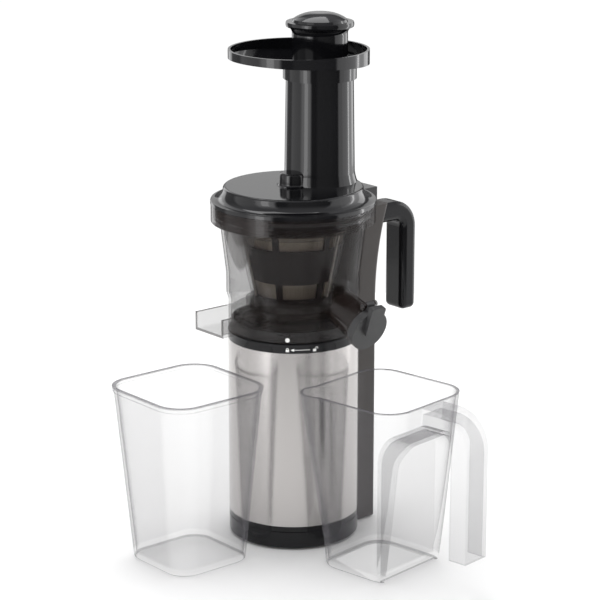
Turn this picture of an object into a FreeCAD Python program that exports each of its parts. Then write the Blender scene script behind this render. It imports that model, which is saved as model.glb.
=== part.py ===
"""A vertical slow juicer: motor base with a back column, smoky bowl, lid with feed tube, two jugs.

Frame: millimetres, origin on the juicer's axis at table level, +Z up. -Y is the front, where the
pulp comes out; +X is the side of the juice outlet; +Y is the back, with the column and the handle.
"""
import FreeCAD
import Part
import Sketcher
import math
import os

Vector = FreeCAD.Vector
doc = FreeCAD.newDocument("slow_juicer")

# ---------------------------------------------------------------- driving dimensions
SIZES = [
    # base
    ("foot_height", 3, "height of a rubber foot"),
    ("foot_radius", 6.5, "radius of a rubber foot"),
    ("foot_circle", 43, "distance of the feet from the axis"),
    ("foot_stem", 2.5, "radius of the stem of a foot"),
    ("base_bottom", 2, "height of the base ring's lower edge"),
    ("body_radius", 56, "outside radius of base, sleeve and collar"),
    ("base_top", 21.5, "top of the black base ring"),
    ("sleeve_wall", 1.2, "thickness of the steel sleeve"),
    ("sleeve_top", 175.5, "top of the steel sleeve"),
    ("collar_top", 183.5, "top of the black collar"),
    ("shell_wall", 2.4, "wall of the plastic housings"),
    ("plate", 3, "thickness of flat plates and covers"),
    ("seam", 0.8, "width and depth of a visible seam"),
    # fits
    ("gap", 0.3, "space between pieces that move past each other"),
    ("running_fit", 0.05, "radial clearance of shafts, pins and bearings"),
    ("loose_fit", 0.1, "radial clearance of plastic on plastic"),
    # drive
    ("hub_radius", 23, "radius of the hub under the bowl"),
    ("hub_top", 199, "top of the hub"),
    ("bayonet_radius", 48.5, "outside radius of the base's bayonet ring"),
    ("bayonet_top", 190.5, "top of the base's bayonet ring"),
    ("lug_depth", 2.5, "how far a bayonet lug stands out"),
    ("lug_angle", 24, "angle that a bayonet lug spans"),
    ("shaft_radius", 5, "radius of the output shaft"),
    ("rotor_shaft", 3, "radius of the motor shaft and of the countershaft"),
    ("motor_radius", 34, "outside radius of the motor can"),
    ("motor_bottom", 26, "bottom of the motor can"),
    ("motor_top", 90, "top of the motor can"),
    ("rotor_radius", 18.4, "radius of the rotor"),
    ("air_gap", 0.6, "gap between rotor and stator"),
    ("shelf_height", 92, "underside of the gearbox shelf"),
    ("gear_width", 8, "face width of the gears"),
    ("module_fast", 0.7, "module of the first gear pair"),
    ("module_slow", 0.84, "module of the second gear pair"),
    ("pinion_teeth", 12, "teeth of both pinions"),
    ("fast_teeth", 60, "teeth of the first wheel"),
    ("slow_teeth", 48, "teeth of the second wheel"),
    ("gearbox_radius", 50, "outside radius of the gearbox"),
    ("gearbox_height", 32, "height of the gearbox housing"),
    # bowl
    ("bowl_bottom", 183.9, "lower edge of the bowl's skirt"),
    ("bowl_wall", 2.2, "wall of the bowl"),
    ("skirt_radius", 55.5, "outside radius of the bowl's skirt"),
    ("skirt_top", 209, "height where the bowl starts to widen"),
    ("waist_radius", 57, "radius of the straight part of the bowl"),
    ("waist_low", 215, "lower end of the straight part"),
    ("waist_high", 232, "upper end of the straight part"),
    ("flare_radius", 59.4, "radius of the bowl half way up its flare"),
    ("flare_height", 253, "height of that radius"),
    ("neck_radius", 62.3, "radius of the bowl under its rim band"),
    ("rim_bottom", 277.5, "lower edge of the rim band"),
    ("rim_radius", 69.75, "outside radius of the rim band"),
    ("rim_top", 292, "top of the rim band"),
    ("floor_under", 200, "underside of the bowl's floor"),
    ("floor_top", 203, "top of the bowl's floor"),
    ("sleeve_bore", 7.5, "bore of the bowl's shaft sleeve"),
    ("sleeve_outer", 9, "outside radius of the shaft sleeve"),
    ("train_module", 1, "module of the wiper's gear train"),
    ("train_teeth", 24, "teeth of the auger gear and of the idler"),
    ("ring_teeth", 72, "teeth of the wiper's ring gear"),
    ("train_width", 4.2, "face width of the wiper's gear train"),
    ("chute_reach", 91, "distance of the pulp chute's mouth from the axis"),
    ("chute_bottom", 193.6, "underside of the pulp chute"),
    ("chute_top", 209.2, "top edge of the pulp chute's walls"),
    ("chute_width", 37, "width of the pulp chute"),
    ("chute_wall", 2, "wall of the pulp chute"),
    ("spout_end", 91, "distance of the spout's end from the axis"),
    ("spout_end_height", 203.5, "height of the centre of the spout's end"),
    ("spout_slope", 20, "slope of the spout in degrees"),
    ("spout_root_radius", 14.25, "outside radius of the spout at the bowl"),
    ("spout_end_radius", 16.5, "outside radius of the spout at its end"),
    ("cap_radius", 18, "radius of the spout's cap"),
    ("cap_depth", 7, "thickness of the spout's cap"),
    ("lever_width", 15, "width of the cap's lever"),
    ("lever_length", 26, "length of the cap's lever"),
    # strainer, wiper and auger
    ("strainer_wall", 2, "wall of the strainer frame"),
    ("strainer_foot", 33, "outside radius of the strainer at its foot"),
    ("strainer_band_low", 37, "outside radius at the band's lower edge"),
    ("strainer_band_high", 42.5, "outside radius at the band's upper edge"),
    ("strainer_head", 47, "outside radius of the strainer at its top"),
    ("band_bottom", 231, "lower edge of the strainer's band"),
    ("band_top", 257, "upper edge of the strainer's band"),
    ("strainer_top", 278, "top of the strainer"),
    ("auger_core", 21, "radius of the auger's core at its foot"),
    ("auger_pin", 4, "radius of the auger's top pin"),
    ("flight_pitch", 27, "pitch of the auger's flight"),
    # lid, tray and pusher
    ("lid_flange", 3.6, "height of the lid's flange"),
    ("disc_radius", 59.4, "radius of the lid's flat top"),
    ("disc_height", 307, "height of the lid's flat top"),
    ("boss_radius", 12, "radius of the bearing boss on the lid"),
    ("boss_top", 318, "top of the bearing boss"),
    ("tube_offset", 29, "distance of the feed tube's axis from the juicer's axis"),
    ("tube_base", 30, "outside radius of the feed tube at the lid"),
    ("tube_radius", 28.4, "outside radius of the feed tube at its top"),
    ("tube_top", 405, "top of the feed tube"),
    ("tube_wall", 2.4, "wall of the feed tube"),
    ("tray_offset", 6, "distance of the tray's centre from the juicer's axis"),
    ("tray_radius", 59, "outside radius of the tray"),
    ("tray_top", 422, "height of the tray's rim"),
    ("tray_front", 7, "height of the tray's rim wall at the front"),
    ("tray_back", 13, "height of the tray's rim wall at the back"),
    ("tray_wall", 2.2, "wall of the tray"),
    ("socket_radius", 31, "outside radius of the tray's socket"),
    ("socket_bottom", 395, "lower edge of the tray's socket"),
    ("pusher_radius", 23.5, "radius of the pusher"),
    ("pusher_bottom", 340, "lower end of the pusher"),
    ("flare_rim", 28.7, "radius of the pusher's rim"),
    ("pusher_rim", 438.5, "underside of the pusher's rim"),
    ("pusher_top", 450, "top of the pusher"),
    # column and handle
    ("column_half", 25.5, "half the width of the column"),
    ("column_back", 72.5, "distance of the column's back from the axis"),
    ("column_top", 283, "top of the column"),
    ("column_flare", 200, "height where the column's back starts to curve out"),
    ("column_reach", 86, "distance of the column's back at its top"),
    ("column_corner", 3.4, "radius of the column's upright corners"),
    ("column_split", 60, "distance of the seam between the column's two shells"),
    ("handle_width", 25, "width of the handle"),
    ("handle_depth", 17, "thickness of the handle"),
    ("handle_reach", 123, "distance of the grip's centre from the axis"),
    ("handle_height", 269.5, "height of the handle's top run"),
    ("handle_bottom", 179, "lower end of the grip"),
    ("handle_corner", 5.5, "corner radius of the handle's section"),
    ("screw_spread", 6, "distance of the handle's screws from its middle"),
    ("handle_bend", 15.5, "bend radius of the handle's centre line"),
    ("switch_height", 62, "height of the switch"),
    # jugs
    ("jug_height", 152, "height of both jugs"),
    ("jug_foot", 78, "width of a jug at its foot"),
    ("jug_mouth", 102, "width of a jug at its mouth"),
    ("jug_foot_corner", 19, "corner radius at the foot"),
    ("jug_mouth_corner", 24, "corner radius at the mouth"),
    ("jug_wall", 2.2, "wall of both jugs"),
    ("jug_heel", 4, "radius round the foot of a jug"),
    ("pulp_jug_x", -3, "centre of the pulp container"),
    ("pulp_jug_y", -112, "centre of the pulp container"),
    ("juice_jug_x", 112, "centre of the juice jug"),
    ("juice_jug_y", 4, "centre of the juice jug"),
    ("juice_jug_turn", 8, "turn of the juice jug in degrees"),
    ("grip_width", 27, "width of the jug's handle"),
    ("grip_depth", 17, "depth of the jug's handle"),
    ("grip_reach", 98, "distance of the handle's outer face from the jug's centre"),
    ("grip_bottom", 28, "lower end of the jug's handle"),
    ("recess_depth", 27, "distance of the jug's recess plane from its centre"),
    ("recess_width", 70, "width of the recess"),
    ("recess_top", 120, "top of the recess"),
]

sheet = doc.addObject("Spreadsheet::Sheet", "Sizes")
for row, (alias, value, meaning) in enumerate(SIZES, 1):
    sheet.set(f"A{row}", meaning)
    sheet.set(f"B{row}", str(value))
    sheet.setAlias(f"B{row}", alias)
doc.recompute()


class Size:
    """A size that carries both its value and the sheet formula it comes from."""

    def __init__(self, value, formula):
        self.value = float(value)
        self.formula = formula

    def __add__(self, other):
        other = as_size(other)
        return Size(self.value + other.value, f"({self.formula} + {other.formula})")

    def __sub__(self, other):
        other = as_size(other)
        return Size(self.value - other.value, f"({self.formula} - {other.formula})")

    def __mul__(self, other):
        other = as_size(other)
        return Size(self.value * other.value, f"({self.formula} * {other.formula})")

    def __truediv__(self, other):
        other = as_size(other)
        return Size(self.value / other.value, f"({self.formula} / {other.formula})")

    def __radd__(self, other):
        return as_size(other) + self

    def __rsub__(self, other):
        return as_size(other) - self

    def __rmul__(self, other):
        return as_size(other) * self

    def __neg__(self):
        return Size(-self.value, f"(0 - {self.formula})")

    def __float__(self):
        return self.value


def as_size(number):
    return number if isinstance(number, Size) else Size(number, repr(float(number)))


def cosine(angle):
    return Size(math.cos(math.radians(angle.value)), f"cos({angle.formula} * 1 deg)")


def sine(angle):
    return Size(math.sin(math.radians(angle.value)), f"sin({angle.formula} * 1 deg)")


class Sheet:
    """The sheet's cells as attributes."""


s = Sheet()
for alias, value, meaning in SIZES:
    setattr(s, alias, Size(sheet.get(alias), f"Sizes.{alias}"))


# ---------------------------------------------------------------- modelling helpers
def bind(thing, **sizes):
    for name, size in sizes.items():
        thing.setExpression(name, as_size(size).formula)
    return thing


def put(thing, x=0, y=0, z=0, axis=(0, 0, 1), angle=None):
    """Places a thing at sheet-driven coordinates, turned about an axis through its own origin."""
    thing.Placement = FreeCAD.Placement(
        Vector(float(x), float(y), float(z)),
        FreeCAD.Rotation(Vector(*axis), 0 if angle is None else float(angle)),
    )
    for letter, size in zip("xyz", (x, y, z)):
        driven = size.formula if isinstance(size, Size) else None
        thing.setExpression(f"Placement.Base.{letter}", driven)
    driven = f"{angle.formula} * 1 deg" if isinstance(angle, Size) else None
    thing.setExpression("Placement.Rotation.Angle", driven)
    return thing


def cylinder(radius, height, x=0, y=0, z=0, axis=(0, 0, 1), angle=None):
    made = bind(doc.addObject("Part::Cylinder", "cylinder"), Radius=radius, Height=height)
    return put(made, x, y, z, axis, angle)


def cone(low_radius, high_radius, height, x=0, y=0, z=0, axis=(0, 0, 1), angle=None):
    made = doc.addObject("Part::Cone", "cone")
    bind(made, Radius1=low_radius, Radius2=high_radius, Height=height)
    return put(made, x, y, z, axis, angle)


def block(x, y, z):
    """A box between (low, high) pairs."""
    made = doc.addObject("Part::Box", "block")
    bind(made, Length=x[1] - as_size(x[0]), Width=y[1] - as_size(y[0]), Height=z[1] - as_size(z[0]))
    return put(made, as_size(x[0]), as_size(y[0]), as_size(z[0]))


def tube(outer, inner, bottom, top, x=0, y=0):
    height = top - as_size(bottom)
    return cut(cylinder(outer, height, x, y, bottom), cylinder(inner, height, x, y, bottom))


def cut(base, *tools):
    made = doc.addObject("Part::Cut", "cut")
    made.Base = base
    made.Tool = tools[0] if len(tools) == 1 else fuse(*tools)
    return made


def fuse(*pieces):
    made = doc.addObject("Part::MultiFuse", "fuse")
    made.Shapes = list(pieces)
    made.Refine = True
    return made


def group(*pieces):
    """Separate solids in one node."""
    made = doc.addObject("Part::Compound", "group")
    made.Links = list(pieces)
    return made


def common(first, second):
    made = doc.addObject("Part::MultiCommon", "common")
    made.Shapes = [first, second]
    return made


def feature(shape, name="shape"):
    made = doc.addObject("Part::Feature", name)
    made.Shape = shape
    return made


def around(count, make, start=0.0):
    """Copies of a piece in equal steps about the axis, each made by make(angle)."""
    return [make(start + 360.0 * step / count) for step in range(count)]


def via(x, y):
    """A point that the edge between its two neighbours bends through."""
    return (x, y, True)


def arc_through(start, middle, end):
    """An anticlockwise arc through three points, and whether it runs from end to start."""
    circle = Part.Arc(start, middle, end).toShape().Curve
    centre, radius = circle.Center, circle.Radius
    clockwise = (middle - start).cross(end - middle).z < 0
    first, last = (end, start) if clockwise else (start, end)
    low = math.atan2(first.y - centre.y, first.x - centre.x)
    high = math.atan2(last.y - centre.y, last.x - centre.x)
    if high < low:
        high += 2 * math.pi
    return Part.ArcOfCircle(Part.Circle(centre, Vector(0, 0, 1), radius), low, high), clockwise


def draw(sketch, corners):
    """Draws a closed outline, each corner held at sheet-driven coordinates."""
    stops = [index for index, corner in enumerate(corners) if len(corner) == 2]
    edges = []
    for order, index in enumerate(stops):
        following = stops[(order + 1) % len(stops)]
        first, last = corners[index], corners[following]
        between = corners[(index + 1) % len(corners)]
        start = Vector(float(first[0]), float(first[1]), 0)
        end = Vector(float(last[0]), float(last[1]), 0)
        if len(between) == 2:
            edge = sketch.addGeometry(Part.LineSegment(start, end))
            edges.append((edge, 1, 2, first))
            continue
        middle = Vector(float(between[0]), float(between[1]), 0)
        arc, clockwise = arc_through(start, middle, end)
        edge = sketch.addGeometry(arc)
        point = sketch.addGeometry(Part.Point(middle), True)
        hold(sketch, point, 1, between)
        sketch.addConstraint(Sketcher.Constraint("PointOnObject", point, 1, edge))
        edges.append((edge, 2, 1, first) if clockwise else (edge, 1, 2, first))
    for index, (edge, start, end, corner) in enumerate(edges):
        next_edge, next_start, next_end, next_corner = edges[(index + 1) % len(edges)]
        sketch.addConstraint(Sketcher.Constraint("Coincident", edge, end, next_edge, next_start))
        hold(sketch, edge, start, corner)


def hold(sketch, edge, point, corner):
    for kind, size in (("DistanceX", corner[0]), ("DistanceY", corner[1])):
        size = as_size(size)
        rule = sketch.addConstraint(Sketcher.Constraint(kind, -1, 1, edge, point, size.value))
        sketch.setExpression(f"Constraints[{rule}]", size.formula)


def sketch_on(body, role, name, shift=None):
    plane = [item for item in body.Origin.OriginFeatures if item.Role == role][0]
    sketch = body.newObject("Sketcher::SketchObject", name)
    sketch.AttachmentSupport = (plane, [""])
    sketch.MapMode = "FlatFace"
    if shift is not None:
        sketch.setExpression("AttachmentOffset.Base.z", as_size(shift).formula)
    return sketch


def turned(name, corners):
    """A body of revolution about Z; corners are (radius, height)."""
    body = doc.addObject("PartDesign::Body", name)
    sketch = sketch_on(body, "XZ_Plane", f"{name}_outline")
    draw(sketch, corners)
    revolution = body.newObject("PartDesign::Revolution", f"{name}_turn")
    revolution.Profile = sketch
    revolution.ReferenceAxis = (sketch, ["V_Axis"])
    revolution.Angle = 360
    return body


def padded(name, role, corners, start, depth):
    """An outline on an origin plane, shifted to start along its normal and padded by depth."""
    body = doc.addObject("PartDesign::Body", name)
    sketch = sketch_on(body, role, f"{name}_outline", start)
    draw(sketch, corners)
    pad = body.newObject("PartDesign::Pad", f"{name}_pad")
    pad.Profile = sketch
    bind(pad, Length=depth)
    return body


def side_view(name, corners, half_width):
    """An outline of (y, z) corners, as wide as twice half_width about x = 0."""
    return padded(name, "YZ_Plane", corners, -half_width, 2 * half_width)


def sector(inner, outer, bottom, top, middle, spread):
    """A ring segment, spread degrees wide about the direction middle."""
    height = top - as_size(bottom)
    whole = cylinder(outer, height, 0, 0, bottom)
    whole.setExpression("Angle", f"{as_size(spread).formula} * 1 deg")
    start = as_size(middle) - as_size(spread) / 2
    put(whole, 0, 0, bottom, (0, 0, 1), start)
    return cut(whole, cylinder(inner, height, 0, 0, bottom))


PIECES = []


def piece(label, thing):
    thing.Label = label
    PIECES.append(thing)
    return thing


# ---------------------------------------------------------------- gears
PRESSURE_ANGLE = math.radians(25)
ADDENDUM = 0.8
DEDENDUM = 1.0
BACKLASH = 0.16


def gear_outline(teeth, module, thicker=0.0, taller=0.0, tooth_at=0.0):
    """The closed outline of an involute gear, one tooth centred on the angle tooth_at."""
    teeth = int(round(float(teeth)))
    module = float(module)
    pitch = teeth * module / 2
    base = pitch * math.cos(PRESSURE_ANGLE)
    tip = pitch + ADDENDUM * module + taller
    root = pitch - DEDENDUM * module + taller
    involute = math.tan(PRESSURE_ANGLE) - PRESSURE_ANGLE
    half_tooth = (math.pi * module / 2 - BACKLASH / 2 + thicker) / (2 * pitch)
    low = max(base, root)

    def flank_angle(radius):
        pressure = math.acos(min(1.0, base / radius))
        return half_tooth + involute - (math.tan(pressure) - pressure)

    def spot(radius, angle):
        return Vector(radius * math.cos(angle), radius * math.sin(angle), 0)

    radii = [low + (tip - low) * step / 5 for step in range(6)]
    edges = []
    for tooth in range(teeth):
        middle = tooth_at + 2 * math.pi * tooth / teeth
        rising = [spot(r, middle - flank_angle(r)) for r in radii]
        falling = [spot(r, middle + flank_angle(r)) for r in reversed(radii)]
        if root < low - 1e-6:
            edges.append(Part.LineSegment(spot(root, middle - flank_angle(low)), rising[0]).toShape())
        for points in (rising, falling):
            flank = Part.BSplineCurve()
            flank.interpolate(points)
            if points is falling:
                edges.append(Part.Arc(rising[-1], spot(tip, middle), falling[0]).toShape())
            edges.append(flank.toShape())
        foot = spot(root, middle + flank_angle(low))
        if root < low - 1e-6:
            edges.append(Part.LineSegment(falling[-1], foot).toShape())
        next_middle = middle + 2 * math.pi / teeth
        next_foot = spot(root, next_middle - flank_angle(low))
        edges.append(Part.Arc(foot, spot(root, (middle + next_middle) / 2), next_foot).toShape())
    return Part.Wire(edges)


def gear_blank(teeth, module, width, tooth_at=0.0, thicker=0.0, taller=0.0):
    """A toothed disc on z = 0."""
    outline = gear_outline(teeth, module, thicker, taller, math.radians(float(tooth_at)))
    return feature(Part.Face(outline).extrude(Vector(0, 0, float(width))), "teeth")


# ---------------------------------------------------------------- base
inner_radius = s.body_radius - s.sleeve_wall
spigot_radius = inner_radius - 0.2
chassis_inner = spigot_radius - s.shell_wall
cover_seat = s.foot_height + s.plate
spigot_top = s.base_top + 8.5


def base_ring():
    seam_low = s.base_top - 5.3
    cover_rim = s.body_radius - s.shell_wall
    return turned("base_ring_blank", [
        (cover_rim, s.base_bottom),
        (s.body_radius - 1.2, s.base_bottom),
        via(s.body_radius - 0.35, s.base_bottom + 0.35),
        (s.body_radius, s.base_bottom + 1.2),
        (s.body_radius, seam_low),
        (s.body_radius - s.seam, seam_low),
        (s.body_radius - s.seam, seam_low + s.seam),
        (s.body_radius, seam_low + s.seam),
        (s.body_radius, s.base_top),
        (spigot_radius, s.base_top),
        (spigot_radius, spigot_top),
        (chassis_inner, spigot_top),
        (chassis_inner, cover_seat),
        (cover_rim, cover_seat),
    ])


def screw(x, y, bottom, length, radius=1.5):
    """A pan-head screw, head down."""
    head = cylinder(radius * 1.9, 1.6, x, y, bottom)
    shank = cylinder(radius, length, x, y, bottom)
    return fuse(head, shank)


def polar(radius, degrees):
    angle = math.radians(degrees)
    return radius * math.cos(angle), radius * math.sin(angle)


screw_circle = s.body_radius - 10.5
post_radius = 4


def build_base():
    posts = [
        cut(
            cylinder(post_radius, spigot_top - cover_seat, *polar(screw_circle, angle), cover_seat),
            cylinder(1.55, spigot_top - cover_seat, *polar(screw_circle, angle), cover_seat),
        )
        for angle in (0, 90, 180, 270)
    ]
    webs = [
        block((-1, 1), (screw_circle + post_radius - 0.8, chassis_inner + 1), (cover_seat, spigot_top))
        for angle in range(4)
    ]
    for web, angle in zip(webs, (0, 90, 180, 270)):
        side = polar(as_size(1), angle + 180)
        reach = polar(screw_circle + post_radius - 0.8, angle + 90)
        put(web, reach[0] + side[0], reach[1] + side[1], cover_seat, (0, 0, 1), angle)
    piece("base_housing", fuse(base_ring(), *posts, *webs))

    cover = cylinder(s.body_radius - s.shell_wall - 0.1, s.plate, 0, 0, s.foot_height)
    holes = []
    for angle in (45, 135, 225, 315):
        holes.append(cylinder(s.foot_stem + s.running_fit, s.plate, *polar(s.foot_circle, angle), s.foot_height))
    for angle in (0, 90, 180, 270):
        place = polar(screw_circle, angle)
        holes.append(cylinder(1.6, s.plate, *place, s.foot_height))
        holes.append(cylinder(3.2, 1.6, *place, s.foot_height))
    vents = [
        block((-16 + abs(row) * 1.5, 16 - abs(row) * 1.5), (row * 5 - 1.1, row * 5 + 1.1), (2, 8))
        for row in range(-4, 5)
    ]
    piece("bottom_cover", cut(cover, *holes, *vents))

    feet = []
    for angle in (45, 135, 225, 315):
        place = polar(s.foot_circle, angle)
        pad = cylinder(s.foot_radius, s.foot_height, *place, 0)
        stem = cylinder(s.foot_stem, s.foot_height + s.plate + 0.8, *place, 0)
        feet.append(fuse(pad, stem))
    piece("rubber_feet", group(*feet))
    piece("cover_screws", group(*[
        screw(*polar(screw_circle, angle), s.foot_height, 12) for angle in (0, 90, 180, 270)
    ]))
    piece("steel_sleeve", tube(s.body_radius, inner_radius, s.base_top, s.sleeve_top))


# ---------------------------------------------------------------- frame, deck and hub
shelf_top = s.shelf_height + s.plate
collar_inner = chassis_inner
deck_edge = s.bayonet_radius + 2
deck_under = s.collar_top - 4
hub_bore = s.shaft_radius + 6


def build_frame():
    tube_part = tube(spigot_radius, chassis_inner, spigot_top, s.sleeve_top)
    shelf = cut(
        cylinder(chassis_inner + 0.5, s.plate, 0, 0, s.shelf_height),
        cylinder(11, s.plate, 0, 0, s.shelf_height),
    )
    windows = [
        block((-9, 9), (-60, 60), (s.shelf_height + 45, s.sleeve_top - 12)),
        block((-60, 60), (-9, 9), (s.shelf_height + 45, s.sleeve_top - 12)),
        block((-9, 9), (-60, 60), (spigot_top + 8, s.shelf_height - 12)),
        block((-60, 60), (-9, 9), (spigot_top + 8, s.shelf_height - 12)),
    ]
    piece("inner_frame", fuse(cut(tube_part, *windows), shelf))

    edge = 0.8
    piece("top_collar", turned("collar_blank", [
        (collar_inner, s.sleeve_top),
        (s.body_radius, s.sleeve_top),
        (s.body_radius, s.collar_top - edge),
        via(s.body_radius - 0.25, s.collar_top - 0.25),
        (s.body_radius - edge, s.collar_top),
        (deck_edge + 0.1, s.collar_top),
        (deck_edge + 0.1, deck_under),
        (deck_edge - 4, deck_under),
        (deck_edge - 4, deck_under - 3),
        (collar_inner, deck_under - 3),
    ]))

    deck = turned("deck_blank", [
        (hub_bore, s.hub_top),
        (s.hub_radius - 1.5, s.hub_top),
        via(s.hub_radius - 0.45, s.hub_top - 0.45),
        (s.hub_radius, s.hub_top - 1.5),
        (s.hub_radius, s.collar_top),
        (s.bayonet_radius - s.shell_wall, s.collar_top),
        (s.bayonet_radius - s.shell_wall, s.bayonet_top),
        (s.bayonet_radius, s.bayonet_top),
        (s.bayonet_radius, s.collar_top),
        (deck_edge, s.collar_top),
        (deck_edge, deck_under),
        (s.hub_radius - s.shell_wall, deck_under),
        (s.hub_radius - s.shell_wall, s.hub_top - 3),
        (hub_bore + 3, s.hub_top - 3),
        (hub_bore + 3, s.hub_top - 14),
        (hub_bore, s.hub_top - 14),
    ])
    lug_outer = s.bayonet_radius + s.lug_depth
    lugs = [
        sector(s.bayonet_radius - 1, lug_outer, s.bayonet_top - 3, s.bayonet_top, angle, s.lug_angle)
        for angle in (30, 150, 270)
    ]
    piece("drive_deck", fuse(deck, *lugs))


# ---------------------------------------------------------------- motor and gearbox
shaft_distance = s.module_fast * (s.pinion_teeth + s.fast_teeth) / 2
fast_level = shelf_top + 3
slow_level = fast_level + s.gear_width + 3
gearbox_top = shelf_top + s.gearbox_height


def build_motor():
    end = 3
    can = tube(s.motor_radius, s.motor_radius - 2, s.motor_bottom, s.motor_top)
    ends = [
        tube(s.motor_radius - 1, 8, s.motor_bottom, s.motor_bottom + end),
        tube(s.motor_radius - 1, 8, s.motor_top - end, s.motor_top),
    ]
    bosses = [
        cylinder(3.4, s.shelf_height - s.motor_top + end, *polar(s.motor_radius - 5, angle), s.motor_top - end)
        for angle in (0, 90, 180, 270)
    ]
    piece("motor_can", fuse(can, *ends, *bosses))

    stack_bottom = s.motor_bottom + 18
    stack_top = s.motor_top - 16
    bore = s.rotor_radius + s.air_gap
    stack = tube(s.motor_radius - 2, bore, stack_bottom, stack_top)
    coils = [
        tube(s.motor_radius - 6, bore + 2, stack_bottom - 8, stack_bottom),
        tube(s.motor_radius - 6, bore + 2, stack_top, stack_top + 8),
    ]
    piece("motor_stator", fuse(stack, *coils))

    pinion = cut(
        gear_blank(s.pinion_teeth, s.module_fast, s.gear_width + 1, -90),
        cylinder(s.rotor_shaft - 0.5, s.gear_width + 1),
    )
    put(pinion, 0, 0, fast_level - 0.5)
    rotor = fuse(
        cylinder(s.rotor_radius, stack_top - stack_bottom, 0, 0, stack_bottom),
        cylinder(s.rotor_shaft, fast_level - 0.5 - s.foot_height - 8, 0, 0, s.foot_height + 8),
        cylinder(s.rotor_shaft - 0.5, s.gear_width + 1.5, 0, 0, fast_level - 0.7),
        pinion,
        tube(11, s.rotor_shaft - 0.2, stack_bottom - 14, stack_bottom - 3),
    )
    piece("motor_rotor", rotor)

    def blade(angle):
        made = block((5, 29), (-0.7, 0.7), (s.foot_height + 10, s.motor_bottom - 3))
        return put(made, *polar(5, angle), s.foot_height + 10, (0, 0, 1), angle)

    hub = tube(7, s.rotor_shaft, s.foot_height + 9, s.motor_bottom - 3)
    disc = tube(29.5, s.rotor_shaft, s.foot_height + 9, s.foot_height + 10.5)
    piece("cooling_fan", fuse(hub, disc, *around(9, blade)))

    ring_outer, ring_inner = 8, s.rotor_shaft + s.running_fit
    piece("motor_bearings", group(
        tube(ring_outer, ring_inner, s.motor_bottom, s.motor_bottom + end),
        tube(ring_outer, ring_inner, s.motor_top - end, s.motor_top),
    ))


def build_gearbox():
    wall = s.gearbox_radius - s.shell_wall
    pot = cut(
        cylinder(s.gearbox_radius, s.gearbox_height - s.plate, 0, 0, shelf_top),
        cylinder(wall, s.gearbox_height, 0, 0, shelf_top + 2),
        cylinder(8, s.plate, 0, 0, shelf_top - 0.5),
    )
    post = tube(s.rotor_shaft + 2.5, s.rotor_shaft, shelf_top, fast_level - s.gap, 0, -shaft_distance)
    seat = cylinder(s.rotor_shaft, 4, 0, -shaft_distance, shelf_top)
    piece("gearbox_housing", cut(fuse(pot, post), seat))

    lid_bottom = gearbox_top - s.plate
    lid = cut(
        fuse(
            cylinder(s.gearbox_radius, s.plate, 0, 0, lid_bottom),
            cylinder(13, 12, 0, 0, lid_bottom),
            cylinder(s.rotor_shaft + 3, 7, 0, -shaft_distance, lid_bottom),
        ),
        cylinder(10, 13, 0, 0, lid_bottom - 0.5),
        cylinder(s.rotor_shaft, 6, 0, -shaft_distance, lid_bottom - 0.5),
    )
    piece("gearbox_cover", lid)
    piece("countershaft", cylinder(
        s.rotor_shaft, lid_bottom + 5 - shelf_top - 0.5, 0, -shaft_distance, shelf_top
    ))

    bore = cylinder(s.rotor_shaft + s.running_fit, 40)
    wheel = gear_blank(s.fast_teeth, s.module_fast, s.gear_width - 1, 90 + 180 / float(s.fast_teeth))
    collar = put(cylinder(9, 4), 0, 0, s.gear_width - 1.5)
    pinion_width = s.gear_width + 1.5
    pinion = put(
        gear_blank(s.pinion_teeth, s.module_slow, pinion_width, 90),
        0, 0, slow_level - fast_level - 1,
    )
    counter = cut(fuse(wheel, collar, pinion), bore)
    piece("countershaft_gear", put(counter, 0, -shaft_distance, fast_level))

    output_wheel = put(
        gear_blank(s.slow_teeth, s.module_slow, s.gear_width - 1, -90 + 180 / float(s.slow_teeth)),
        0, 0, slow_level,
    )
    shaft_bottom = slow_level - 1
    dog_bottom = s.floor_top + 9
    dog_top = dog_bottom + 14
    lugs = [
        sector(s.shaft_radius - 1.5, s.shaft_radius + 1.2, dog_bottom, dog_top - 2, angle, 34)
        for angle in (0, 180)
    ]
    shaft = cylinder(s.shaft_radius, dog_bottom - shaft_bottom, 0, 0, shaft_bottom)
    tip = cylinder(s.shaft_radius - 1, dog_top - dog_bottom + 1, 0, 0, dog_bottom - 1)
    piece("output_shaft", fuse(output_wheel, shaft, tip, *lugs))

    inner = s.shaft_radius + s.running_fit
    piece("shaft_bearings", group(
        tube(10, inner, lid_bottom, gearbox_top + 9),
        tube(hub_bore, inner, s.hub_top - 14, s.hub_top - 4),
    ))
    piece("shaft_seal", tube(hub_bore, s.shaft_radius + s.gap, s.hub_top - 4, s.hub_top - 0.5))


# ---------------------------------------------------------------- bowl
def bowl_profile(offset=0):
    """The bowl's wall from its waist to its neck, moved inwards by offset."""
    return [
        (s.skirt_radius - offset, s.skirt_top),
        (s.waist_radius - offset, s.waist_low),
        (s.waist_radius - offset, s.waist_high),
        (s.flare_radius - offset, s.flare_height),
        (s.neck_radius - offset, s.rim_bottom),
    ]


def spout_place(along, across):
    """A point in the spout's own plane: along its axis from its end, across towards the top."""
    x = s.spout_end + along * cosine(s.spout_slope) + across * sine(s.spout_slope)
    z = s.spout_end_height - along * sine(s.spout_slope) + across * cosine(s.spout_slope)
    return x, as_size(0), z


def on_spout(thing, along=0, across=0):
    """Lays a thing that was made along +Z with its top towards -X onto the spout's axis."""
    x, y, z = spout_place(as_size(along), as_size(across))
    return put(thing, x, y, z, (0, 1, 0), 90 + s.spout_slope)


spout_length = (s.spout_end - s.waist_radius) / cosine(s.spout_slope) + 8
hinge_up = s.spout_end_radius + 4.2
ear_middle = 5.7


def spout_solid(less):
    root = s.spout_root_radius - less
    end = s.spout_end_radius - less
    return on_spout(cone(root, end, spout_length), -spout_length)


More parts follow.
